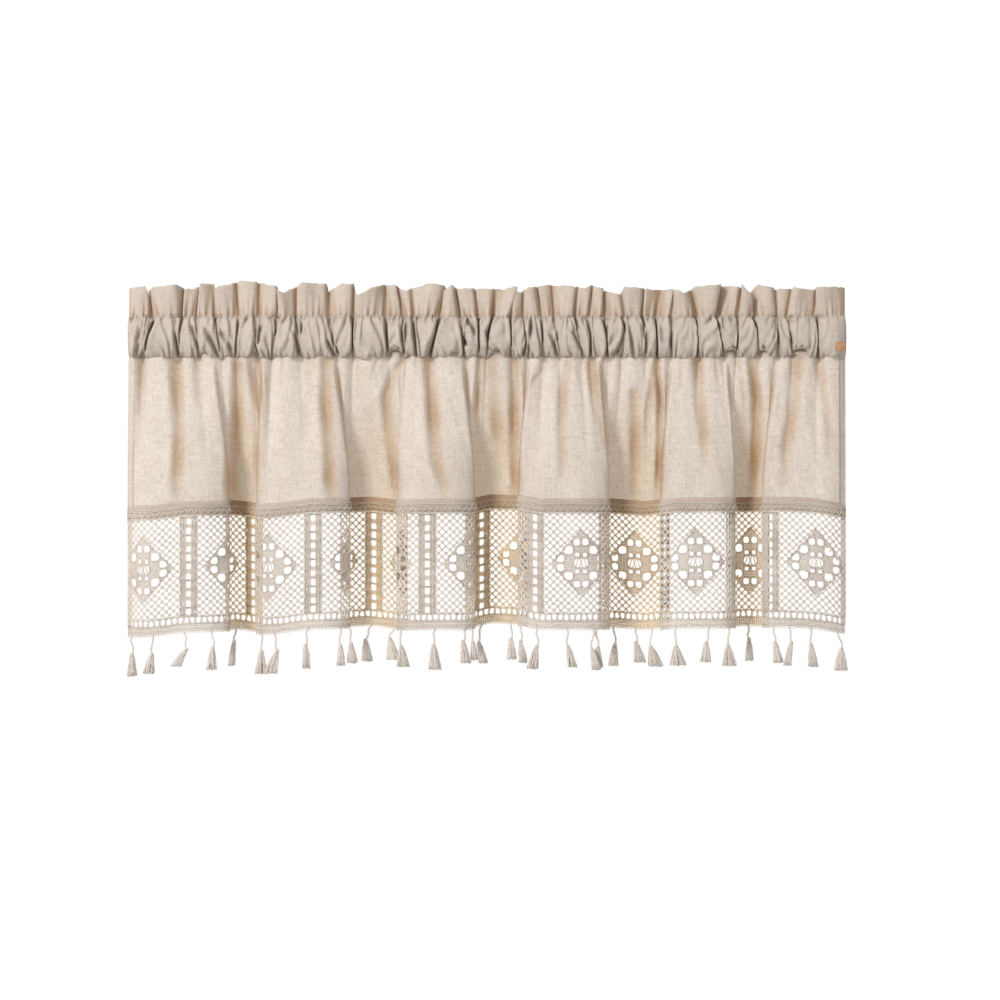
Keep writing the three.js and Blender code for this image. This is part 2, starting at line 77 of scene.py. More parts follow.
# Top edge of the header ruffle: place along the valance and height.
EDGE = [
    (-419.6, 59), (-402, 61), (-395, 50), (-383, 60), (-362, 62), (-357, 58), (-349, 58),
    (-338, 63.5), (-318, 64), (-315, 58.5), (-286, 67.5), (-266, 65), (-243, 59), (-237, 53),
    (-231, 57), (-214, 64.5), (-186, 63.5), (-181, 54.5), (-168, 64), (-158, 63.5),
    (-148, 50), (-139, 58.5), (-127, 63), (-98, 62), (-91, 56), (-71, 64.5), (-49, 56.5),
    (-43, 63), (-31, 58.5), (15, 58), (29, 61.5), (35, 54), (48, 58), (76, 63), (103, 60),
    (111, 58.5), (118, 63.5), (132, 59), (160, 51), (165, 60), (197, 57), (223, 58),
    (234, 52.5), (253, 60.5), (268, 63), (292, 59.5), (301, 62), (309, 47), (317, 54),
    (325, 63), (340, 57.5), (357, 59), (376, 56.5), (400, 60), (419.6, 60),
]

# How much higher or lower than even the hanging cloth ends, along the valance.
SAG = [
    (-419.6, -8), (-388, -7), (-353, -2.5), (-298, -1), (-263, -5), (-245, -4), (-207, 1),
    (-136, 3), (-108, 0), (-60, 1), (-20, 1), (5, 6), (40, 5), (62, 1), (149, 1), (185, -2),
    (220, 2), (352, 3), (385, 1), (419.6, -5),
]

# Pinched strokes in the pocket's front: top x and z, foot x and z, half width, and
# depth before STROKE_GAIN.
STROKES = [
    (-386, 22, -398, -16, 2.4, 4.5), (-404, 15, -411, -24, 2.2, 2), (-356, 24, -359, 6, 2, 3),
    (-368, 6, -361, -24, 2.2, 3), (-346, 15, -339, -12, 2, 2.5), (-329, 12, -315, -23, 2.2, 3),
    (-309, 9, -299, -16, 2.2, 2.5), (-289, 24, -293, -22, 2, 2.5), (-273, -5, -275, -23, 1.8, 2),
    (-273, -5, -265, -22, 1.8, 2), (-262, 15, -265, -8, 2, 2.5), (-227, 6, -220, -23, 2.2, 3),
    (-214, 21, -214, 4, 1.8, 2), (-190, -2, -179, -23, 2.2, 3), (-177, -6, -171, -20, 1.8, 2),
    (-157, 23, -158, -14, 2.4, 4.5), (-119.5, 23, -116, -18, 2.2, 2.5),
    (-102, 15, -97, -20, 2, 2.5), (-92.6, 21, -95, -14, 1.8, 2), (-87, 24, -83, -22, 2, 2.5),
    (-55, 23, -68, -23, 3.6, 3.5), (-34, 15, -28, -23, 2.2, 3), (-26, 0, -22, -9, 2.6, 5),
    (-23, 24, -15, 4, 2, 3), (-10.5, 30, -9.5, -16, 2, 3), (9, 30, 0, 4, 2.4, 5),
    (0, 4, 2.5, -14, 2.4, 5), (27, 23, 28, -8, 2.2, 4), (43, 7, 48, 1, 1.8, 2),
    (48, 1, 41, -23, 2, 3), (53, 22, 50, -23, 2, 2.5), (63, 21, 66, -8, 1.8, 2),
    (74, 4, 82, -23, 2, 3), (97, 9, 108, -14, 2.2, 3), (103, 24, 108, 9, 1.8, 2.5),
    (117, 23, 119.5, 4, 1.8, 2), (122, 9, 121, -23, 2, 2.5), (135, 21, 139.5, -8, 2.4, 5),
    (139.5, -8, 139.5, -23, 2.2, 4), (143, 15, 140.6, -8, 2, 3), (157, 23, 163, 6, 2, 2.5),
    (158, 4, 150, -23, 2, 2.5), (168, 15, 172, -23, 2, 2.5), (180.5, 26, 185, 13, 1.8, 2),
    (189, 9, 185, -23, 2, 2.5), (197, 23, 199, -23, 2.4, 5), (217, 9, 214.5, -14, 2.8, 1.5),
    (245, 22, 246, -23, 2.4, 5), (268, 23, 272, 0, 2.2, 4), (272, 0, 278, -20, 2.2, 4),
    (294, 6, 292, -14, 2, 2.5), (310.6, 23, 316.4, 4, 2.2, 4), (340, 9, 340, -8, 2, 2),
    (354, 6, 357.5, -8, 2, 2.5), (388, 27, 386, -8, 2.2, 3.5), (386, -8, 387, -23, 2.2, 3),
    (-112.5, -20, -107, -10.5, 1.5, 2), (-107, -10.5, -102, -16, 1.5, 2),
    (6, -16, 10.5, -9, 1.5, 2), (10.5, -9, 15, -20, 1.5, 2), (280, -10.5, 285, -9, 1.5, 2),
    (285, -9, 289.5, -16, 1.5, 2), (316, -12, 322, -7, 1.5, 2), (322, -7, 328, -16, 1.5, 2),
    (361, -14, 367, -9, 1.5, 2), (367, -9, 374, -16, 1.5, 2), (-321, 28, -318, 19, 1.5, 2),
    (-318, 19, -315, 28, 1.5, 2), (-248, 22, -246, 3, 1.8, 2), (-246, 3, -241, 22, 1.8, 2),
]

# Soft creases of the hanging panel: their run from top to foot, half width, and
# depth before CREASE_DEPTH.
PANEL_CREASES = [
    ([(-364.5, -28), (-362, -73), (-358.5, -120), (-360, -166), (-358.5, -190)], 5.5, 5),
    ([(-340, -28), (-339, -49), (-337.5, -63)], 3.5, 3.5),
    ([(-292, -35), (-293, -73), (-294, -108), (-299, -155), (-299, -190)], 5, 5),
    ([(-275.5, -31), (-270.5, -73), (-269.5, -120), (-270.5, -190)], 4.5, 3.5),
    ([(-267, -28), (-263.5, -55), (-261.5, -78)], 2.4, 4.5),
    ([(-207.5, -32), (-208.5, -73), (-210, -108)], 5, 2.2),
    ([(-187.5, -28), (-188.5, -73), (-185, -120), (-183, -166), (-180.5, -190)], 5.5, 5.5),
    ([(-97.5, -26), (-109, -40), (-118.5, -67), (-116, -108), (-109, -155), (-105.5, -190)], 5, 4.5),
    ([(-71.5, -28), (-65.5, -67), (-61, -108), (-57.5, -149), (-48, -178)], 6, 5.5),
    ([(-8, -28), (-10.5, -61), (-11, -96)], 3.2, 5),
    ([(6, -28), (8, -73), (12, -108), (16, -135)], 6, 4),
    ([(33.5, -31), (31.5, -73), (31.5, -120), (34, -190)], 4.5, 5.5),
    ([(68, -28), (63.5, -40), (56.5, -49), (50.5, -61)], 4, 2.8),
    ([(95, -28), (89, -67), (88, -108), (89, -155)], 4.5, 4),
    ([(122, -31), (126.5, -67), (132.5, -96), (137, -120)], 5, 4.5),
    ([(137, -26), (136, -43), (139.5, -61)], 2.2, 4),
    ([(172.5, -67), (174.5, -108), (174.5, -190)], 5, 4.5),
    ([(194.5, -40), (191, -73), (188.5, -106)], 3, 4),
    ([(199, -28), (202.8, -73), (202.8, -131), (201.5, -190)], 3.2, 6),
    ([(246, -28), (249.5, -67), (253, -108), (254.5, -149)], 5, 4.5),
    ([(294, -26), (296.5, -43), (302.5, -73)], 2.2, 3),
    ([(309.5, -28), (316.5, -73), (316.5, -120), (314, -190)], 4.5, 6.5),
    ([(363.5, -28), (361, -67), (356.5, -96), (350.5, -131), (349, -166)], 6, 4.5),
    ([(389, -28), (394, -61), (398.5, -96), (401, -125)], 4.5, 3.5),
    ([(-404, -26), (-405, -60), (-410, -110)], 5, 2.5),
    ([(228, -26), (227, -48)], 2.5, 2),
    ([(268, -26), (270, -44)], 2.2, 2.5),
    ([(-238, -26), (-240, -46)], 2.4, 2.2),
    ([(-150, -26), (-151, -50)], 2.6, 2.5),
    ([(-128, -26), (-134, -44)], 2.4, 2),
]

# Tassels: where the cord leaves the lace, its length and side step, the skirt's
# length and side step, its half width, and how far it hangs towards the room where
# two hang one before the other.
TASSELS = [
    (-414.5, 21, 0, 25, 1, 5.6), (-388, 21, -1, 22, -4, 7), (-353, 20, 4, 19, -12, 6.2),
    (-320, 19, 1, 25, -1, 6.2), (-298, 15, -1, 28, -3, 3.8), (-263, 20, 0, 26, -1, 6.7),
    (-248, 20, 4, 26, -7, 7.6), (-207, 18, -4, 27, 1, 4.4), (-171, 20, 0, 23, 1, 5),
    (-162, 19, 3, 22, 2, 5.6), (-136, 17, -8, 25, 2, 6.4), (-110, 12, -5, 25, 4, 8.2),
    (-101, 20, 1, 23, 2, 8.8), (-60, 18, -2, 28, 2, 8.2), (-24, 14, -4, 25, 4, 6),
    (-18.5, 16, 2, 20, 2, 4), (-6, 21, -4, 24, 6, 5.3), (29, 18, -1, 24, 1, 5.9),
    (40, 18, -1, 25, 3, 5), (59, 20, -1, 26, -5, 6.7), (93, 20, 1, 23, 6, 5.6),
    (123, 23, -1, 23, 5, 5.3, 6), (128, 21, 1, 23, 0, 5.9, -5), (149, 20, 2, 25, -2, 5.9),
    (176, 16, 0, 23, 5, 7), (194, 21, -1, 23, 6, 9.4), (220, 21, 0, 22, 3, 9.1),
    (259, 16, -4, 23, -1, 6.2), (282, 21, -1, 23, 2, 8.5), (308, 16, 2, 25, 0, 4.7),
    (335, 18, 1, 23, 4, 6.2), (352, 18, 3, 26, -4, 5), (377, 19, 1, 25, 3, 6.4),
    (410, 19, 4, 25, -1, 7.6),
]

# Plan section of the hanging cloth

# Depth of a fold's edges and shoulders as shares of its front, how far in from its
# edges the shoulders stand, and the depth of a hollow's sides as a share of its back.
EDGE_SHARE = 0.3
SHOULDER_SHARE = 0.92
SHOULDER_PLACE = 0.2
HOLLOW_SHARE = 0.45
GUIDES_PER_FOLD = 8
CURVE_STEPS = 60


def guide_points():
    """Plan points of the folds and the hollows between them, from left to right."""
    points = []
    for (left, right, front, back, tuck), after in zip(FOLDS, [*FOLDS[1:], None]):
        inset = SHOULDER_PLACE * (right - left)
        places = (left, left + inset, left + 0.5 * (right - left), right - inset, right)
        shares = (EDGE_SHARE, SHOULDER_SHARE, 1, SHOULDER_SHARE, EDGE_SHARE)
        points += [(x, -share * front) for x, share in zip(places, shares)]
        if after:
            places = (right - tuck, (right + after[0]) / 2, after[0] + tuck)
            shares = (HOLLOW_SHARE, 1, HOLLOW_SHARE)
            points += [(x, share * back) for x, share in zip(places, shares)]
    return np.array(points, float)


def smooth_curve(points):
    """Points along the smooth curve that passes through the guide points."""
    ends = np.vstack([2 * points[0] - points[1], points, 2 * points[-1] - points[-2]])
    t = np.linspace(0, 1, CURVE_STEPS, endpoint=False)[:, None]
    pieces = []
    for p0, p1, p2, p3 in zip(ends, ends[1:], ends[2:], ends[3:]):
        m1, m2 = (p2 - p0) / 2, (p3 - p1) / 2
        pieces.append(
            (2 * t**3 - 3 * t**2 + 1) * p1 + (t**3 - 2 * t**2 + t) * m1
            + (3 * t**2 - 2 * t**3) * p2 + (t**3 - t**2) * m2
        )
    return np.vstack(pieces + [points[-1:]])


SECTION = smooth_curve(guide_points())
LENGTHS = np.concatenate([[0], np.cumsum(np.hypot(*np.diff(SECTION, axis=0).T))])
FLAT_WIDTH = float(LENGTHS[-1])


def unit(t):
    return np.clip(t, 0, 1)


def hump(t):
    """1 at 0, falling smoothly to almost 0 two units away."""
    return np.exp(-(t**2))


def ease(t):
    t = unit(t)
    return t * t * (3 - 2 * t)


def read(table, place):
    return np.interp(place, *np.array(table, float).T)


# Gathers

GATHER_BACK = 2.5
GATHER_STAND = 0.26
GATHER_MOST = 7.0
GATHER_ROUND = 0.7
GATHER_GAIN = 1.5
RUFFLE_GAIN = 1.5
LAP_SHARE = 0.17
LAP_WIDEST = 30
STOPS = np.array([(-HALF_WIDTH, 0, 0.3), *CREASES, (HALF_WIDTH, 0, 0.3)], float)
# How unevenly each gather of the ruffle swells between its two creases.
SKEW_CHOICES = (0.5, 0.6, 0.75, 1.1, 1.6, 2.0)
SKEWS = np.array([random.Random(300 + i).choice(SKEW_CHOICES) for i in range(len(STOPS))])


def gather_places(x, z, skewed=False):
    """At places x on level z: how far each is on its way from one crease to the next,
    how far those creases are apart, and how deep they are there."""
    level = max(-POCKET_HALF, min(POCKET_HALF, z))
    places = STOPS[:, 0] - STOPS[:, 1] * level / (2 * POCKET_HALF)
    i = np.clip(np.searchsorted(places, x), 1, len(places) - 1)
    t = unit((x - places[i - 1]) / (places[i] - places[i - 1]))
    if skewed:
        t = t ** SKEWS[i]
    return t, STOPS[i, 0] - STOPS[i - 1, 0], STOPS[i - 1, 2] * (1 - t) + STOPS[i, 2] * t


def gather(x, z, skewed=False):
    """Depth of the gathers at places x on one level z: back at each crease."""
    t, spacing, deep = gather_places(x, z, skewed)
    crest = GATHER_BACK - np.minimum(GATHER_MOST, GATHER_STAND * spacing)
    crease = GATHER_BACK * deep
    return crease + (crest - crease) * np.sin(np.pi * t) ** GATHER_ROUND


def lap(x, z):
    """How far the gathers swell sideways over the creases beside them."""
    t, spacing, deep = gather_places(x, z)
    return -LAP_SHARE * np.minimum(spacing, LAP_WIDEST) * deep**1.5 * np.sin(2 * np.pi * t)


def waves(x, seed, count, low, high):
    """A smooth uneven wave of about unit size along x, of count lengths from low to high."""
    draw = random.Random(seed)
    total = np.zeros_like(x, dtype=float)
    for _ in range(count):
        length = math.exp(draw.uniform(math.log(low), math.log(high)))
        total += np.sin(2 * math.pi * x / length + draw.uniform(0, 2 * math.pi))
    return total / math.sqrt(count)


def even_out(values, spread):
    """values, given at even flat spacing, smoothed over about spread millimetres."""
    step = FLAT_WIDTH / (len(values) - 1)
    reach = int(3 * spread / step)
    weights = np.exp(-((np.arange(-reach, reach + 1) * step / spread) ** 2) / 2)
    before = 2 * values[0] - values[reach:0:-1]
    after = 2 * values[-1] - values[-2:-reach - 2:-1]
    return np.convolve(np.concatenate([before, values, after]), weights / weights.sum(), "valid")


# Where flat places end up along the gathered top: partly spread evenly, and for the
# rest following the hem's folds, smoothed.
TOP_EVEN = 0.3
TOP_SPREAD = 34
EVEN_SHARES = np.linspace(0, 1, 2001)
HEM_PLACES = np.interp(EVEN_SHARES * FLAT_WIDTH, LENGTHS, SECTION[:, 0])
TOP_PLACES = (
    TOP_EVEN * HALF_WIDTH * (2 * EVEN_SHARES - 1) + (1 - TOP_EVEN) * even_out(HEM_PLACES, TOP_SPREAD)
)

# How sharply each fold's left and right edges show in the panel's upper half.
FOLD_EDGES = [(0, 0.5), (1, 0.9), (0.5, 1), (1, 0.8), (0.9, 1), (1, 0)]
EDGE_DEPTH = 6.0
EDGE_SHARPNESS = 1.8
EDGE_REACH = 13
CREASE_DEPTH = 0.75
LACE_FLARE = 0.08
# A soft crease fades in from above its top and out towards its foot: how far
# beyond its ends it reaches, and over how long it fades.
TOP_REACH, TOP_FADE = 12, 8
FOOT_REACH, FOOT_FADE = 22, 48


def down_panel(z):
    """0 at the panel's top, 1 at its seam."""
    return unit((PANEL_TOP - z) / (PANEL_TOP - SEAM))


def fold_edges(s):
    """How far places at shares s lie beyond each fold edge, and how sharp that edge is."""
    for i, sharps in enumerate(FOLD_EDGES):
        start = GUIDES_PER_FOLD * i * CURVE_STEPS
        end = min(start + GUIDES_PER_FOLD // 2 * CURVE_STEPS, len(LENGTHS) - 1)
        for place, side, sharp in zip(LENGTHS[[start, end]], (-1, 1), sharps):
            if sharp > 0:
                yield (s * FLAT_WIDTH - place) * side, sharp


def edge_depth(s, down):
    """Small cliffs beside the folds, where the cloth starts to lap over itself."""
    depth = np.zeros(np.broadcast(s, down).shape)
    window = unit(down / 0.12) * unit((0.95 - down) / 0.4)
    for away, sharp in fold_edges(s):
        depth += EDGE_DEPTH * sharp * window * np.tanh(away / EDGE_SHARPNESS) * hump(away / EDGE_REACH)
    return depth


def crease_share(x, z, spread=1.0):
    """How deep each place lies in the panel's soft creases, and their raised sides."""
    share = np.zeros(np.broadcast(x, z).shape)
    ridge = np.zeros(share.shape)
    for run, width, deep in PANEL_CREASES:
        places, levels = np.array(run[::-1], float).T
        window = unit((z - levels[0] + FOOT_REACH) / FOOT_FADE)
        window = window * unit((levels[-1] + TOP_REACH - z) / TOP_FADE)
        window = window * (0.85 + 0.2 * np.sin(z / 13 + places[0]))
        across = (x - np.interp(z, levels, places)) / (width * spread)
        share += deep * window * hump(across)
        ridge += deep * window * (0.5 * hump(across + 1.7) + 0.3 * hump(across - 2))
    return share, ridge


def painted_fold_shade(s, x, z):
    """Painted shade for the panel's colour: 0 on open cloth, towards 1 in the soft creases and beside the
    lapped fold edges, a little lighter on the creases' raised sides.
    """
    down = down_panel(z)
    share, ridge = crease_share(x, z, 1.5)
    fold_shade_share = 0.17 * share - 0.04 * ridge
    for away, sharp in fold_edges(s):
        beyond = np.where(away > 0, hump(away / (6 + 12 * down)), hump(away / 2.5))
        fold_shade_share = fold_shade_share + 0.6 * sharp * unit(down / 0.2) * beyond
    return unit(fold_shade_share)


def cloth(s, z, creased=True):
    """Middle surface of the hanging cloth at share s of its flat width and level z."""
    down = down_panel(z)
    flare = 1 + LACE_FLARE * unit((SEAM - z) / (SEAM - LACE_END))
    along = unit(s) * FLAT_WIDTH
    hem_x = np.interp(along, LENGTHS, SECTION[:, 0])
    hem_y = np.interp(along, LENGTHS, SECTION[:, 1])
    top_x = np.interp(s, EVEN_SHARES, TOP_PLACES)
    opened = ease(np.minimum(1, 1.15 * down)) ** 0.85
    x = top_x + (hem_x - top_x) * opened
    y = GATHER_GAIN * gather(top_x, PANEL_TOP) * (1 - down) ** 1.5 + hem_y * opened * flare
    if creased:
        share, ridge = crease_share(x, z)
        y = y + CREASE_DEPTH * (share - ridge) * unit((z - SEAM) / 20) + edge_depth(s, down)
    return np.stack(np.broadcast_arrays(x, y, z + read(SAG, x) * ease(down)), axis=-1)


def facing(s, z, creased=True):
    """Unit direction towards the room, square to the cloth."""
    step, rise = 0.0008, 0.8
    across = cloth(np.minimum(s + step, 1), z, creased) - cloth(np.maximum(s - step, 0), z, creased)
    up = cloth(s, z + rise, creased) - cloth(s, z - rise, creased)
    out = np.cross(across, up)
    return out / np.linalg.norm(out, axis=-1, keepdims=True)


# Mesh making

def add_object(name, data):
    made = bpy.data.objects.new(name, data)
    bpy.context.scene.collection.objects.link(made)
    return made


def add_piece(name, points, faces, material, slot, uv=None):
    mesh = bpy.data.meshes.new(name)
    mesh.from_pydata((np.asarray(points) * MM).tolist(), [], [tuple(f) for f in faces])
    mesh.validate()
    if uv is not None:
        layer = mesh.uv_layers.new(name="cloth")
        corners = np.empty(len(mesh.loops), dtype=np.int64)
        mesh.loops.foreach_get("vertex_index", corners)
        layer.data.foreach_set("uv", (uv.reshape(-1, 2)[corners] * MM).astype(np.float32).ravel())
    mesh.polygons.foreach_set("use_smooth", np.ones(len(mesh.polygons), dtype=bool))
    mesh.materials.append(material)
    piece = add_object(name, mesh)
    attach(piece, "root")
    return piece


def set_painted_shade(piece, shares):
    """Stores each point's share of painted shade, with which its material darkens the cloth's colour."""
    layer = piece.data.attributes.new("fold", "FLOAT", "POINT")
    layer.data.foreach_set("value", shares.astype(np.float32).ravel())


def grid_faces(columns, rows, wrap=False):
    i, j = np.meshgrid(np.arange(columns - 1), np.arange(rows if wrap else rows - 1), indexing="ij")
    up = (j + 1) % rows
    a, b = i * rows, (i + 1) * rows
    return np.stack([a + j, b + j, b + up, a + up], axis=-1).reshape(-1, 4)


THREAD_SIDES = 4


class Threads:
    """Many threads gathered into one mesh: each is a list of flat points."""

    def __init__(self):
        self.rows = []

    def add(self, u, z, off, wide, thick):
        """wide and thick are the thread's half sizes along the cloth and off it."""
        columns = np.broadcast_arrays(*(np.asarray(v, float) for v in (u, z, off, wide, thick)))
        rows = np.stack(columns, axis=-1)
        if len(rows) > 1:
            self.rows.append(rows)

    def mesh(self):
        rows = np.vstack(self.rows)
        s, z, off, wide, thick = rows.T
        s = s / FLAT_WIDTH
        out = facing(s, z, False)
        centre = cloth(s, z, False) + out * off[:, None]
        ends = np.cumsum([len(thread) for thread in self.rows])
        starts = np.concatenate([[0], ends[:-1]])
        before = np.arange(len(rows)) - 1
        after = np.arange(len(rows)) + 1
        before[starts] = starts
        after[ends - 1] = ends - 1
        side = np.cross(out, centre[after] - centre[before])
        side /= np.maximum(np.linalg.norm(side, axis=1, keepdims=True), 1e-9)
        angle = 2 * np.pi * (np.arange(THREAD_SIDES) + 0.5) / THREAD_SIDES
        ring = (
            centre[:, None]
            + side[:, None] * (wide[:, None] * np.cos(angle))[..., None]
            + out[:, None] * (thick[:, None] * np.sin(angle))[..., None]
        )
        linked = np.ones(len(rows), bool)
        linked[ends - 1] = False
        order = np.arange(THREAD_SIDES)
        first = np.flatnonzero(linked)[:, None] * THREAD_SIDES
        a, b = first + order, first + (order + 1) % THREAD_SIDES
        faces = np.stack([a, b, b + THREAD_SIDES, a + THREAD_SIDES], axis=-1).reshape(-1, 4).tolist()
        faces += (starts[:, None] * THREAD_SIDES + order[::-1]).tolist()
        faces += ((ends - 1)[:, None] * THREAD_SIDES + order).tolist()
        return ring.reshape(-1, 3), faces


# Materials

PLAIN = (1.0, 1.0, 1.0)


class Nodes:
    """Short ways to add nodes to one node tree."""

    def __init__(self, tree):
        self.tree = tree

    def add(self, kind, values, **settings):
        """All outputs of a new node, whose inputs are set to values or linked to them."""
        made = self.tree.nodes.new("ShaderNode" + kind)
        for key, value in settings.items():
            setattr(made, key, value)
        for key, value in values.items():
            socket = made.inputs[key]
            if isinstance(value, bpy.types.NodeSocket):
                self.tree.links.new(value, socket)
            else:
                socket.default_value = (*value, 1) if socket.type == "RGBA" else value
        return made.outputs

    def place(self, kind="Object"):
        return self.add("TexCoord", {})[kind]

    def flat_place(self):
        return self.add("UVMap", {}, uv_map="cloth")["UV"]

    def part(self, vector, axis):
        return self.add("SeparateXYZ", {"Vector": vector})[axis]

    def fold(self):
        # The painted shade stored at each point of the cloth.
        return self.add("Attribute", {}, attribute_name="fold")["Fac"]

    def math(self, operation, first, second):
        return self.add("Math", {0: first, 1: second}, operation=operation)[0]

    def blend(self, share, first, second, kind="MIX"):
        """Of the colour mixing node, input 0 is the share and 6 and 7 are the colours."""
        return self.add("Mix", {0: share, 6: first, 7: second}, data_type="RGBA", blend_type=kind)[2]

    def ramp(self, source, dark, light, low=0.38, high=0.62):
        """dark where source is under low, turning light towards high."""
        made = self.tree.nodes.new("ShaderNodeValToRGB")
        for stop, place, color in zip(made.color_ramp.elements, (low, high), (dark, light)):
            stop.position, stop.color = place, (*color, 1)
        self.tree.links.new(source, made.inputs["Fac"])
        return made.outputs["Color"]

    def noise(self, place, stretch, scale, detail=2.0, rough=0.6):
        """Noise stretched along the weave's two directions."""
        vector = self.add("Mapping", {"Scale": stretch, "Vector": place})["Vector"]
        values = {"Vector": vector, "Scale": scale, "Detail": detail, "Roughness": rough}
        return self.add("TexNoise", values)["Fac"]

    def smooth_range(self, value, low, high, first=0.0, last=1.0):
        """first where value is under low, easing to last where it is over high."""
        values = {"Value": value, "From Min": low, "From Max": high, "To Min": first, "To Max": last}
        return self.add("MapRange", values, interpolation_type="SMOOTHSTEP")["Result"]

    def depth(self, nearest, furthest):
        """0 on the folds nearest the room, 1 in the hollows behind them: the mask of the materials' painted
        hollow shade.
        """
        return self.smooth_range(self.part(self.place(), "Y"), nearest * MM, furthest * MM)

    def bump(self, height, strength, distance):
        values = {"Strength": strength, "Distance": distance, "Height": height}
        return self.add("Bump", values)["Normal"]

    def cloth_end(self, color, glow, height, share, strength=0.5, gap=None):
        """Cloth that scatters light back and lets a share of it through, open by gap."""
        front = self.add("BsdfPrincipled", {
            "Base Color": color, "Normal": self.bump(height, strength, 0.0005),
            "Roughness": 0.95, "Sheen Weight": 0.12, "Specular IOR Level": 0.12,
        })["BSDF"]
        through = self.add("BsdfTranslucent", {"Color": glow})["BSDF"]
        surface = self.add("MixShader", {"Fac": share, 1: front, 2: through})["Shader"]
        if gap is not None:
            clear = self.add("BsdfTransparent", {})["BSDF"]
            surface = self.add("MixShader", {"Fac": gap, 1: surface, 2: clear})["Shader"]
        self.add("OutputMaterial", {"Surface": surface})


def new_material(name):
    material = bpy.data.materials.new(name)
    material.use_nodes = True
    material.node_tree.nodes.clear()
    return material, Nodes(material.node_tree)


def weave_height(nodes):
    """Slubby plain weave: fine threads both ways, thicker slubs, flecks and clouds."""
    place = nodes.flat_place()
    warp = nodes.noise(place, (1.0, 0.05, 1.0), 1100)
    weft = nodes.noise(place, (0.05, 1.0, 1.0), 1100)
    slub = nodes.noise(place, (0.16, 1.0, 1.0), 420, 1.0, 0.4)
    fleck = nodes.noise(place, (1.0, 0.55, 1.0), 330)
    cloud = nodes.noise(place, PLAIN, 40, 2.0, 0.5)
    total = nodes.math("MULTIPLY", nodes.math("ADD", warp, weft), 0.22)
    for part, weight in ((slub, 0.14), (fleck, 0.30), (cloud, 0.12)):
        total = nodes.math("ADD", total, nodes.math("MULTIPLY", part, weight))
    return total


def linen_material(name, dark, light, through, hollow, share, gap=0, folded=None):
    """Linen with painted shade: its colour and glow turn towards hollow's colour in the
    hollows behind the folds and towards folded's where the stored painted shade lies;
    gap is how open its weave is."""
    material, nodes = new_material(name)
    weave = weave_height(nodes)
    color, glow = nodes.ramp(weave, dark, light), nodes.ramp(weave, *through)
    # Painted shade in the hollows and creases.
    shades = [(nodes.depth(-4, 22), hollow)]
    if folded:
        shades.append((nodes.fold(), folded))
    for where, shade in shades:
        color = nodes.blend(where, color, shade, "MULTIPLY")
        glow = nodes.blend(where, glow, shade, "MULTIPLY")
    open_share = nodes.ramp(weave, (0, 0, 0), (gap, gap, gap), 0.52, 0.72) if gap else None
    nodes.cloth_end(color, glow, weave, share, gap=open_share)
    return material


# Middle and half of the ruffle's stretch in the heading's flat map, in metres.
RUFFLE_MIDDLE_V = 0.062
RUFFLE_REACH_V = 0.0386


def heading_material():
    """The doubled pocket lets little light through and its linen is painted darker than the ruffle's as
    painted shade; the ruffle above it glows.
    """
    material, nodes = new_material("heading_linen")
    weave = weave_height(nodes)
    height = nodes.part(nodes.flat_place(), "Y")
    away = nodes.math("ABSOLUTE", nodes.math("SUBTRACT", height, RUFFLE_MIDDLE_V), 0)
    ruffle = nodes.math("LESS_THAN", away, RUFFLE_REACH_V)
    # The pocket's colour is the same linen painted darker, as painted shade.
    pocket_shaded_color = nodes.ramp(weave, (0.47, 0.41, 0.355), (0.64, 0.565, 0.495))
    ruffle_tint = nodes.ramp(weave, (0.62, 0.54, 0.465), (0.80, 0.71, 0.63))
    color = nodes.blend(ruffle, pocket_shaded_color, ruffle_tint)
    # Painted shade in the gathers, puckers and slopes facing away from the key light, by the stored
    # attribute.
    shade = nodes.blend(ruffle, (0.48, 0.43, 0.38), (0.66, 0.53, 0.42))
    color = nodes.blend(nodes.fold(), color, shade, "MULTIPLY")
    share = nodes.math("ADD", nodes.math("MULTIPLY", ruffle, 0.25), 0.1)
    glow = nodes.blend(0.35, ruffle_tint, (0.9, 0.76, 0.6))
    nodes.cloth_end(color, glow, weave, share)
    return material


def yarn_material(name, dark, light, hollow, share):
    material, nodes = new_material(name)
    place = nodes.place()
    fine = nodes.noise(place, PLAIN, 900)
    broad = nodes.noise(place, PLAIN, 28, 2.0, 0.5)
    mixed = nodes.math("MULTIPLY", nodes.math("ADD", fine, broad), 0.5)
    # Painted shade: the yarn darkens towards hollow's colour in the hollows behind the folds.
    color = nodes.blend(nodes.depth(-2, 24), nodes.ramp(mixed, dark, light), hollow, "MULTIPLY")
    nodes.cloth_end(color, color, fine, share, 0.4)
    return material


def leather_material():
    material, nodes = new_material("tan_leather")
    place = nodes.place()
    grain = nodes.add("TexVoronoi", {"Scale": 2200, "Vector": place})["Distance"]
    cloud = nodes.noise(place, PLAIN, 260, 3.0)
    color = nodes.ramp(cloud, (0.34, 0.16, 0.075), (0.66, 0.36, 0.19), 0.3, 0.7)
    values = {"Base Color": color, "Normal": nodes.bump(grain, 0.5, 0.0003), "Roughness": 0.5}
    surface = nodes.add("BsdfPrincipled", values)["BSDF"]
    nodes.add("OutputMaterial", {"Surface": surface})
    return material


# Painted shade: the colour after each linen's through pair darkens the hollows behind the folds, and the
# panel's last colour darkens its creases.
PANEL_LINEN = linen_material(
    "panel_linen", (0.57, 0.505, 0.445), (0.80, 0.725, 0.66),
    ((0.64, 0.54, 0.44), (0.87, 0.78, 0.69)), (0.96, 0.90, 0.81), 0.35, 0.10, (0.72, 0.57, 0.42),
)
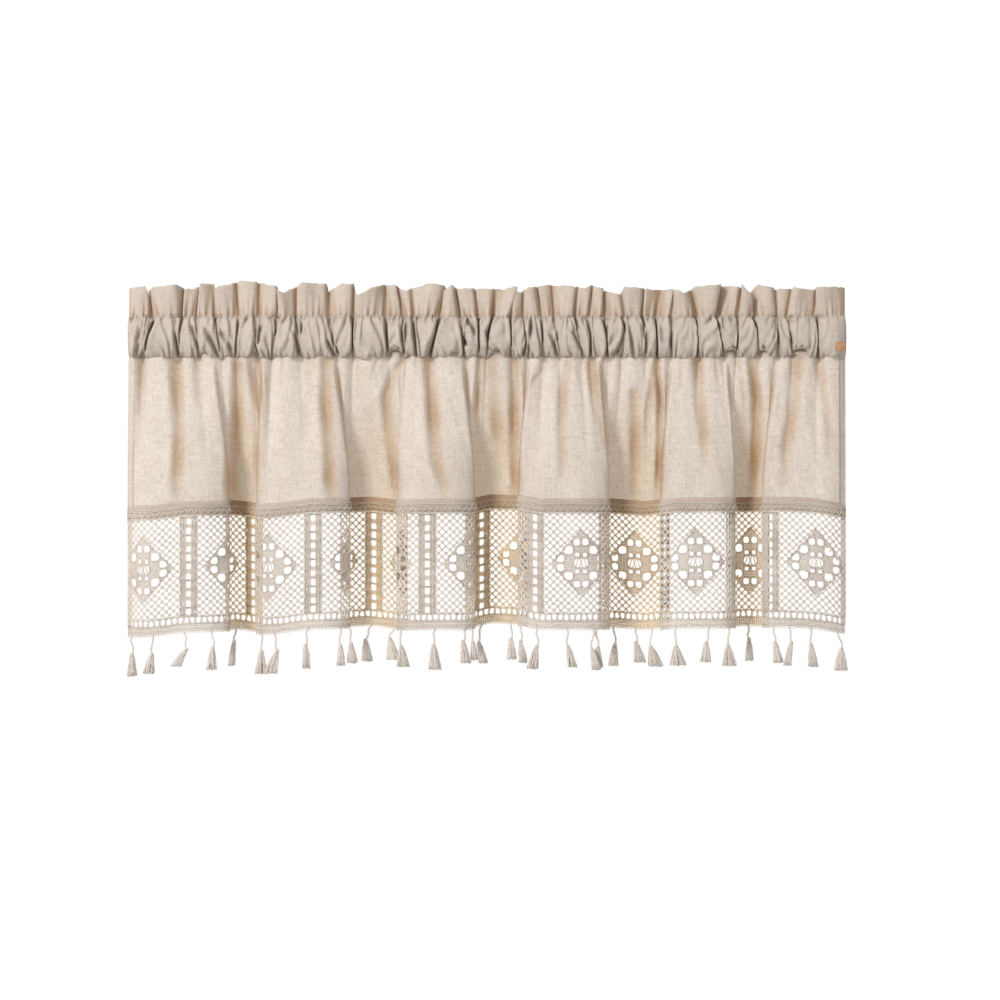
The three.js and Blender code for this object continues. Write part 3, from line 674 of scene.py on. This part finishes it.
# The hem band's linen is the panel's painted darker, as painted shade where the doubled band lets less
# light through; its two layers also block light.
HEM_LINEN = linen_material(
    "hem_linen", (0.51, 0.425, 0.365), (0.67, 0.575, 0.50),
    ((0.5, 0.4, 0.3), (0.66, 0.55, 0.44)), (0.86, 0.70, 0.56), 0.2,
)
SIDE_LINEN = linen_material(
    "side_hem_linen", (0.62, 0.545, 0.47), (0.84, 0.755, 0.67),
    ((0.6, 0.52, 0.44), (0.8, 0.72, 0.64)), (0.95, 0.90, 0.83), 0.25,
)
HEADING_LINEN = heading_material()
# The lace's last colour is painted shade for the hollows behind the folds; the tassels' white one leaves
# them as they are.
LACE_YARN = yarn_material("lace_yarn", (0.86, 0.80, 0.74), (0.97, 0.93, 0.88), (1, 0.94, 0.80), 0.62)
TASSEL_YARN = yarn_material("tassel_yarn", (0.92, 0.86, 0.81), (1, 0.96, 0.92), (1, 1, 1), 0.5)
LEATHER = leather_material()


# Linen panel

PANEL_COLUMNS = 540
PANEL_ROWS = 96
# How far the panel's sheet runs up behind the pocket's stitch line.
PANEL_TUCK = 8
RIPPLE = 0.25
HEM_BAND = 8.3
HEM_FOOT = -206.0
HEM_HALF = 1.1
HEM_COLUMNS = 420
HEM_ROWS = 7
SIDE_HEM = 9.0
SIDE_HALF = 0.6
SIDE_COLUMNS = 5
SIDE_ROWS = 60


def panel_piece():
    s = np.linspace(0, 1, PANEL_COLUMNS)[:, None]
    z = np.linspace(PANEL_TOP + PANEL_TUCK, SEAM, PANEL_ROWS)[None, :]
    points = cloth(s, z)
    fold_shade_share = painted_fold_shade(s, points[..., 0], z)
    ripple = RIPPLE * waves(s * FLAT_WIDTH + 0.25 * z, 11, 9, 12, 45)
    points = points + facing(s, z) * ripple[..., None]
    uv = np.stack(np.broadcast_arrays(s * FLAT_WIDTH, z), axis=-1)
    faces = grid_faces(PANEL_COLUMNS, PANEL_ROWS)[:, ::-1]
    piece = add_piece("linen_panel", points.reshape(-1, 3), faces, PANEL_LINEN, "linen", uv)
    set_painted_shade(piece, fold_shade_share)
    return piece


def band_piece(name, shares, levels, half, material):
    """A flat folded hem: a thin closed band that follows the cloth."""
    s, z = np.meshgrid(shares, levels, indexing="ij")
    middle, out = cloth(s, z), facing(s, z)
    columns, rows = s.shape
    thin = half * np.minimum(1, 0.35 + np.minimum(np.arange(rows), np.arange(rows)[::-1]))
    lift = out * np.broadcast_to(thin, s.shape)[..., None]
    ring = np.concatenate([middle + lift, (middle - lift)[:, ::-1]], axis=1)
    uv = np.stack([s * FLAT_WIDTH, z], axis=-1)
    uv = np.concatenate([uv, uv[:, ::-1]], axis=1)
    around = 2 * rows
    faces = grid_faces(columns, around, wrap=True)[:, ::-1].tolist()
    first = list(range(around))
    last = [(columns - 1) * around + k for k in first[::-1]]
    for k in range(rows - 1):
        for end in (first, last):
            faces.append((end[k], end[k + 1], end[around - 2 - k], end[around - 1 - k]))
    return add_piece(name, ring.reshape(-1, 3), faces, material, "linen", uv)


# Heading: pocket and ruffle in one folded cloth

HEADING_COLUMNS = 900
WALL_STEPS = 22
RUFFLE_STEPS = 14
BULGE_FRONT = 11.0
BULGE_BACK = 10.0
STROKE_GAIN = 2.0
SHALLOWEST, DEEPEST = -4.5, 9
RUFFLE_FLARE = 0.9
RUFFLE_HALF = 1.1
FLUTES = 2.8
TILT = 5.0
# Seed, shortest and longest run of the small puckers beside the stitch lines.
PUCKERS = (22, 5, 9)
# From here on the pocket's folds are calm, where the tab lies over them.
TAB_LEFT = 404.0
TAB_EASE = 10
# Where the pocket's lower stitch line arches up: place, half width and height, drawn
# RIM_SPREAD times as wide and RIM_GAIN times as high.
RIM_ARCHES = [
    (-330, 5, 3.5), (-272, 4, 4), (-196, 4, 3), (-107, 6, 6), (-88, 4, 3), (-39, 4, 4), (11, 6, 5.5),
    (62, 4, 3), (118, 4, 2.5), (181, 5, 3), (285, 6, 6.5), (322, 6, 6.5), (367, 7, 7.5),
]
RIM_SPREAD = 1.2
RIM_GAIN = 1.5


def pocket_round(z):
    """1 on the pocket's middle line, 0 at its stitch lines."""
    return math.sqrt(max(0, 1 - (z / POCKET_HALF) ** 2))


def stroke_depth(x, z):
    """Pinched strokes at places x on level z: a groove with a ridge on either side."""
    depth = np.zeros_like(x)
    for x0, z0, x1, z1, width, deep in STROKES:
        reach = (z0 - z) / (z0 - z1)
        window = unit(1.2 - abs(2 * reach - 1) ** 3) * (-0.2 < reach < 1.2)
        if window > 0:
            across = (x - (x0 + (x1 - x0) * reach)) / width
            ridges = 0.7 * hump(across + 1.7) + 0.35 * hump(across - 1.9)
            depth += STROKE_GAIN * deep * window * (hump(across) - ridges)
    return np.clip(depth, SHALLOWEST, DEEPEST)


def crumple(x, z, seed, low, high, count=6, slant=0.35):
    """Small uneven gathers with sharp valleys, each running at its own slant."""
    draw = random.Random(seed)
    total = np.zeros_like(x, dtype=float)
    for _ in range(count):
        length = draw.uniform(low, high)
        lean = draw.uniform(-slant, slant)
        phase = draw.uniform(0, 2 * math.pi)
        swing = np.sin(x / draw.uniform(40, 90) + draw.uniform(0, 6))
        total += (0.5 - np.abs(np.sin(np.pi * (x + lean * z) / length + phase + swing)))
    return -total / math.sqrt(count)


def sideways(x, size):
    """How far the pocket's pleats bend sideways, at most."""
    return size * waves(x, 41, 5, 18, 50)


def pleats(x, z):
    """Narrow lapped pleats from rim to rim, whose slant and size drift along the pocket."""
    lean = 0.42 * waves(x, 43, 5, 35, 120)
    place = x + lean * z + sideways(x, 2.4) * math.sin(z / 10)
    drift = waves(x, 46, 5, 25, 80)
    total = np.zeros_like(x)
    for pitch, size, seed, share in ((13.0, 4.2, 44, drift), (7.9, 2.6, 45, -drift)):
        t = (place / pitch + 0.3 * waves(x, seed, 4, 22, 70)) % 1
        total -= size * np.clip(0.65 + 0.6 * share, 0.1, 1.5) * t**1.7 * unit((1 - t) / 0.16)
    return total + 1.6


def pocket_rim(x):
    """How far the pocket's upper and lower stitch lines wander up or down."""
    upper = 1.3 * crumple(x, 0, 31, 9, 22)
    lower = 1.5 * waves(x, 32, 6, 12, 70)
    for place, half, high in RIM_ARCHES:
        lower = lower + RIM_GAIN * high * np.exp(-(((x - place) / (RIM_SPREAD * half)) ** 4))
    return upper, lower


def turn_over(z):
    """Place on the heading's flat map of level z at its back."""
    return 2 * RUFFLE_MIDDLE_V / MM - z


def heading_piece():
    """The cloth's columns run up the pocket's face, over the ruffle and down the back."""
    share = np.linspace(0, 1, HEADING_COLUMNS)
    x = HALF_WIDTH * (2 * share - 1)
    top = read(EDGE, x) - 0.8 + 0.5 * waves(x, 9, 5, 6, 20)
    # shades holds the painted shade stored for the material at every point of the cloth.
    columns, flats, shades = [], [], []

    def lay(place, y, z, flat, shade):
        columns.append(np.stack(np.broadcast_arrays(place, y, z), axis=-1))
        flats.append(np.broadcast_to(flat, x.shape))
        shades.append(unit(shade))

    wall = np.sin(np.linspace(-0.5, 0.5, WALL_STEPS) * np.pi) * POCKET_HALF
    ends = unit((HALF_WIDTH - np.abs(x)) / 25)
    upper, lower = pocket_rim(x)
    calm = np.clip((TAB_LEFT - x) / TAB_EASE, 0.1, 1)
    for z in wall:
        rim = math.exp(-(((POCKET_HALF - abs(z)) / 7) ** 2))
        bent = x + sideways(x, 2.2) * math.sin(z / 9)
        folds = calm * (
            stroke_depth(x, z) + pleats(x, z) * (1.0 + 0.5 * rim)
            + 1.6 * crumple(bent, z, 21, 10, 22, 3, 0.5) + 2.4 * rim * crumple(x, z, *PUCKERS)
        )
        y = GATHER_GAIN * gather(x, z) - BULGE_FRONT * pocket_round(z) - 0.8 + folds
        # Painted shade on the slopes that face away from the key light, added below to painted shade that
        # deepens in the creases and gathers.
        turned = np.clip(0.35 * np.gradient(y, x), 0, 0.5)
        level = z + (upper if z > 0 else lower) * abs(z / POCKET_HALF) ** 3
        place = x + lap(x, z) * pocket_round(z) * ends
        lay(place, y, level, z, (folds + 0.8 * gather(x, z)) / 7 + turned)

    pucker = 0.7 * stroke_depth(x, POCKET_HALF + 1) + 2.6 * crumple(x, 0, *PUCKERS)
    uneven = np.clip(0.75 + 0.55 * waves(x, 16, 5, 30, 90), 0.15, 1.5)
    base = RUFFLE_GAIN * gather(x, POCKET_HALF, True)
    swell = lap(x, POCKET_HALF) * ends
    flute = FLUTES * waves(x, 5, 6, 24, 80)
    tilt = TILT * waves(x, 15, 5, 34, 90) * ends
    back = []
    for t in np.linspace(0, 1, RUFFLE_STEPS)[1:]:
        y = (
            base * (1 + (RUFFLE_FLARE * uneven) * t) + flute * t + pucker * (1 - t) ** 1.5
            + 2.4 * t * crumple(x, POCKET_HALF + 30 * t, 23, 16, 40)
        )
        place = x + swell * uneven * t**0.6 * 1.3 + tilt * t**1.3
        z = POCKET_HALF + upper * (1 - t) ** 3 + (top - POCKET_HALF) * t
        # Painted shade on the ruffle's slopes that face away from the key light, and in the puckers at its
        # base.
        turned = np.clip(0.8 * np.gradient(y, place), 0, 0.75)
        pucker_shade = 0.35 * np.clip(pucker, 0, 2) * (1 - t) ** 1.5
        lay(place, y - RUFFLE_HALF, z, z, (y + 1) / 9 + turned + pucker_shade)
        z = POCKET_HALF + (top - POCKET_HALF) * t - 0.4 * t
        back.append((place, y + RUFFLE_HALF * min(1, 1.6 - t), z, turn_over(z), (-y - 2) / 8))
    for row in back[::-1]:
        lay(*row)

    for z in wall[::-1]:
        low = unit((-z - 12) / 11)
        y = 1 - 0.5 * gather(x, z) + BULGE_BACK * pocket_round(z) + 0.8
        y = y * (1 - low) + (GATHER_GAIN * gather(x, z) + 1.2) * low
        lay(x, y, z, turn_over(z), np.zeros_like(x))
    points = np.stack(columns, axis=1)
    flat_u = np.broadcast_to((share * FLAT_WIDTH)[:, None], points.shape[:2])
    uv = np.stack([flat_u, np.stack(flats, axis=1)], axis=-1)
    faces = grid_faces(HEADING_COLUMNS, points.shape[1])[:, ::-1]
    piece = add_piece("gathered_heading", points.reshape(-1, 3), faces, HEADING_LINEN, "pocket_linen", uv)
    set_painted_shade(piece, np.stack(shades, axis=1))
    return piece


# Lace

REPEAT = 107.4
FIRST_MOTIF = 24.0
MOTIF_MIDDLE = -264.0
BAR_OFFSET = 53.7
MOTIF_HALF = (34.5, 39.5)
BAR_HALF = 9.8
MESH_WIDE = 8.6
STRIP_MIDDLE = -201.2
STRIP_END = -207.2
STRIP_OFF = 1.4
NET_END = -323.0
TIE_END = -331.0
NET_ROWS = 28
# How far in from the cloth's sides threads and their rims end.
THREAD_MARGIN = 1.0
RIM_MARGIN = 0.8
# Openings of a motif: place across and up from its centre, half width and half height.
HOLES = [
    (5.0, 24.4, 3.7, 3.9), (14.8, 15.0, 5.3, 4.7), (4.4, 9.6, 2.6, 2.3), (0.0, 0.0, 8.2, 5.2),
    (24.2, 5.3, 4.6, 4.1), (24.2, -5.3, 4.6, 4.1), (14.8, -15.0, 5.3, 4.7), (5.0, -24.4, 3.7, 3.9),
    (4.4, -9.6, 2.6, 2.3),
]
# Threads that cross the motif's middle opening, from foot to top.
CROSSINGS = [(-6.2, -4.4, -3.2, 4.8), (-2.2, -5.0, 1.8, 5.0), (2.0, -5.0, -1.6, 5.0), (6.3, -4.2, 3.6, 4.6)]
CLOTH_PITCH = 1.9
CLOTH_STEP = 1.82
RIM_WIDTH = 0.7
RUNGS = 11


def inside(u, margin=THREAD_MARGIN):
    return (u > margin) & (u < FLAT_WIDTH - margin)


def runs(good):
    """Start and end of every stretch of true values."""
    edges = np.flatnonzero(np.diff(np.concatenate([[0], good.astype(int), [0]])))
    return list(zip(edges[::2], edges[1::2]))


def from_nearest(u, first):
    """Distance of flat places u from the nearest of the places that repeat from first."""
    return np.abs((u - first + REPEAT / 2) % REPEAT - REPEAT / 2)


def net_threads(threads):
    """Diamond mesh: two families of slanting threads, stopped by bars and motifs."""
    step_u = MESH_WIDE / 2
    step_z = (STRIP_END - NET_END) / NET_ROWS
    k = np.arange(NET_ROWS + 1)
    z = NET_END + k * step_z
    half_u, half_z = MOTIF_HALF[0] - 1.5, MOTIF_HALF[1] - 1.5
    for slant in (1, -1):
        first = -NET_ROWS * step_u if slant > 0 else 0
        last = FLAT_WIDTH if slant > 0 else FLAT_WIDTH + NET_ROWS * step_u
        for start in np.arange(math.floor(first / MESH_WIDE) * MESH_WIDE, last, MESH_WIDE):
            u = start + slant * k * step_u
            wander = 0.35 * waves(u + 3 * z, 31, 5, 14, 50)
            middle = (u[1:] + u[:-1]) / 2
            away = np.abs((z[1:] + z[:-1]) / 2 - MOTIF_MIDDLE) / half_z
            in_motif = from_nearest(middle, FIRST_MOTIF) / half_u + away < 1
            in_bar = from_nearest(middle, FIRST_MOTIF + BAR_OFFSET) < BAR_HALF
            over = 0.35 * np.where((k + round(start / MESH_WIDE)) % 2 == 0, 1, -1) * slant
            for a, b in runs(inside(middle) & ~in_bar & ~in_motif):
                fine = np.linspace(a, b, 2 * (b - a) + 1)
                across = np.interp(fine, k, np.clip(u + wander, 0.3, FLAT_WIDTH - 0.3))
                knot = np.where(fine % 1 == 0, 1.0, 0.0)
                off = np.interp(fine, k, over)
                threads.add(across, np.interp(fine, k, z + wander), off, 0.85 + 0.75 * knot, 0.6)


def motif_threads(threads, centre):
    """Close cloth laid around a motif's openings, with a rim at each and a border."""
    half_u, half_z = MOTIF_HALF
    holes = [
        (centre + side * across, MOTIF_MIDDLE + up, wide, high)
        for across, up, wide, high in HOLES
        for side in ((-1, 1) if across else (1,))
    ]
    for foot_u, foot_z, top_u, top_z in CROSSINGS:
        u, z = np.linspace(foot_u, top_u, 5) + centre, np.linspace(foot_z, top_z, 5) + MOTIF_MIDDLE
        if inside(u).all():
            threads.add(u, z, 0.1, 0.85, 0.6)

    def lay(fixed, start, half, upright):
        moving = np.arange(start - half, start + half, CLOTH_STEP)
        still = np.full_like(moving, fixed)
        u, z = (still, moving) if upright else (moving, still)
        good = inside(u) & (np.abs(u - centre) / half_u + np.abs(z - MOTIF_MIDDLE) / half_z < 1)
        for hu, hz, wide, high in holes:
            good &= ((np.abs(u - hu) / wide) ** 2.6 + (np.abs(z - hz) / high) ** 2.6) > 1
        for a, b in runs(good):
            off = 0.3 * np.where(np.arange(a, b) % 2 == int(upright), 1, -1)
            threads.add(u[a:b], z[a:b], off, 0.8, 0.5)

    for fixed in np.arange(-half_u, half_u + 0.1, CLOTH_PITCH):
        lay(centre + fixed, MOTIF_MIDDLE, half_z, True)
    for fixed in np.arange(-half_z, half_z + 0.1, CLOTH_PITCH):
        lay(MOTIF_MIDDLE + fixed, centre, half_u, False)
    angle = np.linspace(0, 2 * np.pi, 15)
    across, up = (np.sign(way) * np.abs(way) ** 0.75 for way in (np.cos(angle), np.sin(angle)))
    for hu, hz, wide, high in holes:
        u, z = hu + (wide + RIM_WIDTH) * across, hz + (high + RIM_WIDTH) * up
        if inside(u, RIM_MARGIN).all():
            threads.add(u, z, 0.4, 1.05, 0.75)
    turn, corners = np.arange(25), [0, 6, 12, 18, 24]
    u = centre + np.interp(turn, corners, [0, half_u, 0, -half_u, 0])
    z = MOTIF_MIDDLE + np.interp(turn, corners, [half_z, 0, -half_z, 0, half_z])
    for a, b in runs(inside(u, RIM_MARGIN)):
        threads.add(u[a:b], z[a:b], 0.1, 1.0, 0.7)


def bar_threads(threads, centre):
    """Ladder bar: two close ribs joined by thick rungs, with open squares between."""
    if centre + BAR_HALF > FLAT_WIDTH - THREAD_MARGIN:
        return
    levels = np.linspace(NET_END, STRIP_END, 33)
    for i, offset in enumerate((3.4, 5.0, 6.6, 8.1, 9.4)):
        for side in (-1, 1):
            sway = (0.25 + 0.1 * i) * waves(levels, 40 + 7 * i + side + int(centre), 4, 7, 30)
            threads.add(centre + side * offset + sway, levels, 0.2 * (-1) ** i, 1.05, 0.65)
    pitch = (STRIP_END - NET_END) / RUNGS
    across = np.array([-9.6, -7, -3.5, 0, 3.5, 7, 9.6])
    for i in range(RUNGS + 1):
        tilt = 0.7 * math.sin(3.7 * i + 0.3 * centre)
        for shift in (-2.3, -0.8, 0.8, 2.3):
            z = NET_END + i * pitch + shift * (0.85 + 0.35 * math.sin(2.3 * i + centre))
            if NET_END < z < STRIP_END:
                bow = 0.4 * shift * np.array([0, 0.6, -0.4, -1, -0.4, 0.6, 0])
                threads.add(centre + across, z + bow + tilt * across / 9.6, -0.1, 1.0, 0.6)
    rib = np.array([3.6, 5.5, 7.8, 9.9])
    for i, z in enumerate(np.arange(NET_END + 1.5, STRIP_END - 1, 2.4)):
        zigzag = 0.6 * (-1) ** i * np.array([1, -1, 1, -1])
        for side in (-1, 1):
            threads.add(centre + side * rib, z + zigzag, -0.25, 0.85, 0.5)


def long_thread(threads, level, sway, seed, off, wide, thick):
    """One thread along the whole cloth that sways a little about its level."""
    u = np.arange(0.6, FLAT_WIDTH - 0.4, 5.0)
    threads.add(u, level + sway * waves(u, seed, 4, 12, 40), off, wide, thick)


def lower_band(threads):
    """The close band at the lower edge: long threads laced by short upright ones."""
    low, high = LACE_END + 1.2, TIE_END
    for i, z in enumerate(np.arange(low + 0.8, high - 0.3, 1.9)):
        long_thread(threads, z, 0.18, 80 + i, 0.25 * (-1) ** i, 0.95, 0.55)
    levels = np.array([low + 0.4, (low + high) / 2, high - 0.4])
    for i, start in enumerate(np.arange(1.0, FLAT_WIDTH - 1, 2.6)):
        threads.add(np.full(3, start), levels, 0.3 * (-1) ** i * np.array([1, -1, 1]), 0.85, 0.5)


def edge_threads(threads):
    """The zigzag strip on top, the lower band with its ties and loops, and both sides."""
    for i, (z, wide) in enumerate(((-195.2, 1.0), (-197.0, 0.9), (-205.3, 0.9), (-206.6, 0.7))):
        long_thread(threads, z, 0.15, 60 + i, STRIP_OFF + 0.2, wide, 0.6)
    points = np.arange(1.5, FLAT_WIDTH - 1, 1.9)
    swing = 3.2 * np.array([-1, 0, 1, 0])[np.arange(len(points)) % 4]
    threads.add(points, STRIP_MIDDLE + swing, STRIP_OFF + 0.5, 0.9, 0.65)
    threads.add(points, STRIP_MIDDLE - 0.35 * swing, STRIP_OFF, 0.65, 0.5)
    lower_band(threads)
    levels = np.array([TIE_END - 0.3, (TIE_END + NET_END) / 2, NET_END + 0.3])
    waist = np.array([1.7, 0.5, 1.7])
    for i, start in enumerate(np.arange(3.0, FLAT_WIDTH - 2, 6.9)):
        lean = 0.9 * math.sin(2.1 * i) * np.array([-1, 0, 1])
        for shift in (-0.7, 0.7):
            threads.add(start + shift * waist + lean, levels, 0, np.array([1.1, 0.8, 1.1]), 0.6)
    long_thread(threads, NET_END + 0.3, 0.3, 77, 0.2, 1.35, 0.75)
    long_thread(threads, TIE_END + 0.2, 0.3, 78, 0.2, 1.2, 0.75)
    loops = np.arange(0.8, FLAT_WIDTH - 0.5, 1.75)
    bob = np.where(np.arange(len(loops)) % 2 == 0, -1.0, 1.5)
    threads.add(loops, LACE_END + bob, 0.1, 0.85, 0.65)
    levels = np.linspace(TIE_END, STRIP_END, 25)
    for start, way in ((0, 1), (FLAT_WIDTH, -1)):
        for offset in (0.8, 2.6, 4.4, 6.2):
            sway = 0.3 * waves(levels, 90 + int(offset), 3, 8, 30) * (offset > 1)
            threads.add(start + way * offset + sway, levels, 0.35, 1.0, 0.6)


def lace_pieces():
    ground, work = Threads(), Threads()
    net_threads(ground)
    edge_threads(ground)
    for centre in np.arange(FIRST_MOTIF, FLAT_WIDTH, REPEAT):
        bar_threads(work, centre + BAR_OFFSET)
        motif_threads(work, centre)
    return [
        add_piece(name, *threads.mesh(), LACE_YARN, "lace")
        for name, threads in (("lace_ground", ground), ("lace_work", work))
    ]


# Tassels

SKIRT_STRANDS = 62
STRAND_RADIUS = 0.72
CORD_RADIUS = 1.0
PLY_OFF = 0.45
TWIST_PITCH = 7
BINDING_LEVELS = (0.0, 1.3, 2.6)
BINDING_HALF = 1.9
BINDING_RADIUS = 0.65


def free_tube(path, radii, sides):
    """Tube along a path of points in space, closed at both ends."""
    along = np.gradient(path, axis=0)
    along /= np.linalg.norm(along, axis=1, keepdims=True)
    side = np.cross(along, [0.0, 1.0, 0.0])
    side /= np.linalg.norm(side, axis=1, keepdims=True)
    turned = np.cross(along, side)
    angle = 2 * np.pi * np.arange(sides) / sides
    radii = np.broadcast_to(np.asarray(radii, float), len(path))[:, None, None]
    ring = path[:, None] + radii * (
        side[:, None] * np.cos(angle)[:, None] + turned[:, None] * np.sin(angle)[:, None]
    )
    faces = grid_faces(len(path), sides, wrap=True).tolist()
    faces.append(list(range(sides)))
    faces.append([(len(path) - 1) * sides + k for k in reversed(range(sides))])
    return ring.reshape(-1, 3), faces


def join_parts(parts):
    points, faces, count = [], [], 0
    for part_points, part_faces in parts:
        points.append(part_points)
        faces += [[k + count for k in face] for face in part_faces]
        count += len(part_points)
    return np.vstack(points), faces


EDGE_S = np.linspace(0, 1, 4001)
EDGE_LINE = cloth(EDGE_S, np.full_like(EDGE_S, LACE_END), False)


def lace_foot(x):
    """Lower edge of the lace at place x, on the layer nearest the room."""
    crosses = (EDGE_LINE[:-1, 0] - x) * (EDGE_LINE[1:, 0] - x) <= 0
    found = EDGE_LINE[1:][crosses]
    return found[np.argmin(found[:, 1])]


def tassel_piece(number, x, cord, step, skirt, swing, flare, forward=0):
    """One tassel: a cord of two plies, three turns of binding and a skirt of strands."""
    draw = random.Random(100 + number)
    top = lace_foot(x) * [0, 1, 1] + [x, 0, 0.8]
    neck = top + [step, -0.4 * forward, -cord - 0.8]
    foot = neck + [swing, -0.6 * forward, -skirt]
    parts = []
    t = np.linspace(0, 1, 15)[:, None]
    bow = np.sin(np.pi * t) * [0.12 * step + draw.uniform(-0.8, 0.8), 0, 0]
    bow = bow + np.sin(2 * np.pi * t) * [draw.choice((-1, 1)) * draw.uniform(0.6, 1.4), 0, 0]
    line = top + (neck - top) * t + bow
    for ply in (0, np.pi):
        twist = 2 * np.pi * cord / TWIST_PITCH * t[:, 0] + ply
        spin = PLY_OFF * np.stack([np.cos(twist), np.sin(twist), 0 * twist], axis=1)
        parts.append(free_tube(line + spin, CORD_RADIUS, 5))
    angle = np.linspace(0, 2 * np.pi, 11)
    turn = BINDING_HALF * np.stack([np.cos(angle), np.sin(angle), 0.12 * angle], axis=1)
    for level in BINDING_LEVELS:
        centre = neck + (foot - neck) / skirt * level + [0, 0, -0.4]
        parts.append(free_tube(centre + turn, BINDING_RADIUS, 4))
    u = np.linspace(0, 1, 6)[:, None]
    opening = np.hstack([u**0.8, u**0.8, u])
    radii = np.interp(u[:, 0], [0, 0.3, 1], [0.5, STRAND_RADIUS, 0.55])
    for _ in range(SKIRT_STRANDS):
        angle = draw.uniform(0, 2 * math.pi)
        reach = math.sqrt(draw.random())
        spread = np.array([math.cos(angle), 0.62 * math.sin(angle), 0]) * reach
        tip = foot + spread * (1.08 * flare) + [draw.uniform(-0.4, 0.4), 0, draw.uniform(-1.2, 0.8)]
        root = neck + spread * 1.5
        path = root + (tip - root) * opening
        path[1:-1] += [[draw.uniform(-0.55, 0.55), draw.uniform(-0.4, 0.4), 0] for _ in range(4)]
        parts.append(free_tube(path, radii, 4))
    points, faces = join_parts(parts)
    piece = add_piece(f"tassel_yarn_{number:02d}", points, faces, TASSEL_YARN, "yarn")
    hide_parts(f"tassel_{number:02d}")


# Pieces in place

panel = panel_piece()
hem_levels = np.linspace(SEAM + HEM_BAND, HEM_FOOT, HEM_ROWS)
hem = band_piece("seam_band", np.linspace(0, 1, HEM_COLUMNS), hem_levels, HEM_HALF, HEM_LINEN)
side_share = SIDE_HEM / FLAT_WIDTH
side_levels = np.linspace(PANEL_TOP, SEAM, SIDE_ROWS)
left_hem, right_hem = (
    band_piece(name, np.linspace(first, last, SIDE_COLUMNS), side_levels, SIDE_HALF, SIDE_LINEN)
    for name, first, last in (("left_side_hem", 0, side_share), ("right_side_hem", 1 - side_share, 1))
)
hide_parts("panel")

heading = heading_piece()
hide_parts("heading")

ground, work = lace_pieces()
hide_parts("lace")
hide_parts("lace")

for i, row in enumerate(TASSELS):
    tassel_piece(i + 1, *row)

for slot_of_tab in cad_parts["tab"].material_slots:
    slot_of_tab.material = LEATHER


# Floor, light and camera, in metres and watts

FLOOR_HALF = 1.6
FLOOR_LEVEL = -1.6
FLOOR_COLOR = (0.9, 0.89, 0.88, 1)
KEY_PLACE = (-3.0, -4.1, 2.3)
KEY_AIM = (0, 0, -0.15)
KEY_SIZE = 1.3
KEY_POWER = 262
KEY_COLOR = (1, 0.985, 0.96)
# Strength of the world's light in front of the valance and behind it.
DIM, BRIGHT = 0.5, 1.02


def white_world():
    """Even white light behind the valance, fading to dimmer light in front of it."""
    world = bpy.data.worlds.new("studio")
    bpy.context.scene.world = world
    world.use_nodes = True
    nodes = Nodes(world.node_tree)
    way = nodes.part(nodes.place("Generated"), "Y")
    background = world.node_tree.nodes["Background"]
    background.inputs["Color"].default_value = (1, 1, 1, 1)
    strength = nodes.smooth_range(way, -0.1, 0.75, DIM, BRIGHT)
    world.node_tree.links.new(strength, background.inputs["Strength"])


def floor_piece():
    """A plain pale floor below the hanging valance."""
    mesh = bpy.data.meshes.new("floor")
    corners = [(x, y, FLOOR_LEVEL) for x in (-FLOOR_HALF, FLOOR_HALF) for y in (-FLOOR_HALF, FLOOR_HALF)]
    mesh.from_pydata(corners, [], [(0, 2, 3, 1)])
    material = bpy.data.materials.new("pale_floor")
    material.use_nodes = True
    surface = material.node_tree.nodes["Principled BSDF"]
    surface.inputs["Base Color"].default_value = FLOOR_COLOR
    surface.inputs["Roughness"].default_value = 0.9
    mesh.materials.append(material)
    floor = add_object("floor", mesh)


def key_light():
    light = bpy.data.lights.new("key", "AREA")
    light.shape = "RECTANGLE"
    light.size = light.size_y = KEY_SIZE
    light.energy = KEY_POWER
    light.color = KEY_COLOR
    lamp = add_object("key", light)
    lamp.location = KEY_PLACE
    way = np.array(KEY_AIM) - np.array(KEY_PLACE)
    yaw = math.atan2(way[1], way[0]) - math.pi / 2
    pitch = math.atan2(way[2], math.hypot(way[0], way[1])) + math.pi / 2
    lamp.rotation_euler = (pitch, 0, yaw)


floor_piece()
white_world()
key_light()
bpy.context.scene.view_settings.view_transform = "Standard"

# The photograph's frame is 1000 px square and shows 1172 mm at the valance.
MM_PER_PIXEL = 1.172
FRAME_PIXELS = 1000
POCKET_PIXEL = (487, 338)
CAMERA_DISTANCE = 2767.0
SENSOR_WIDTH = 36
camera = add_object("camera", bpy.data.cameras.new("camera"))
camera.data.sensor_width = SENSOR_WIDTH
camera.data.lens = SENSOR_WIDTH * CAMERA_DISTANCE / (MM_PER_PIXEL * FRAME_PIXELS)
camera.location = (
    (FRAME_PIXELS / 2 - POCKET_PIXEL[0]) * MM_PER_PIXEL * MM,
    -CAMERA_DISTANCE * MM,
    (POCKET_PIXEL[1] - FRAME_PIXELS / 2) * MM_PER_PIXEL * MM,
)
camera.rotation_euler = (math.pi / 2, 0, 0)
bpy.context.scene.camera = camera
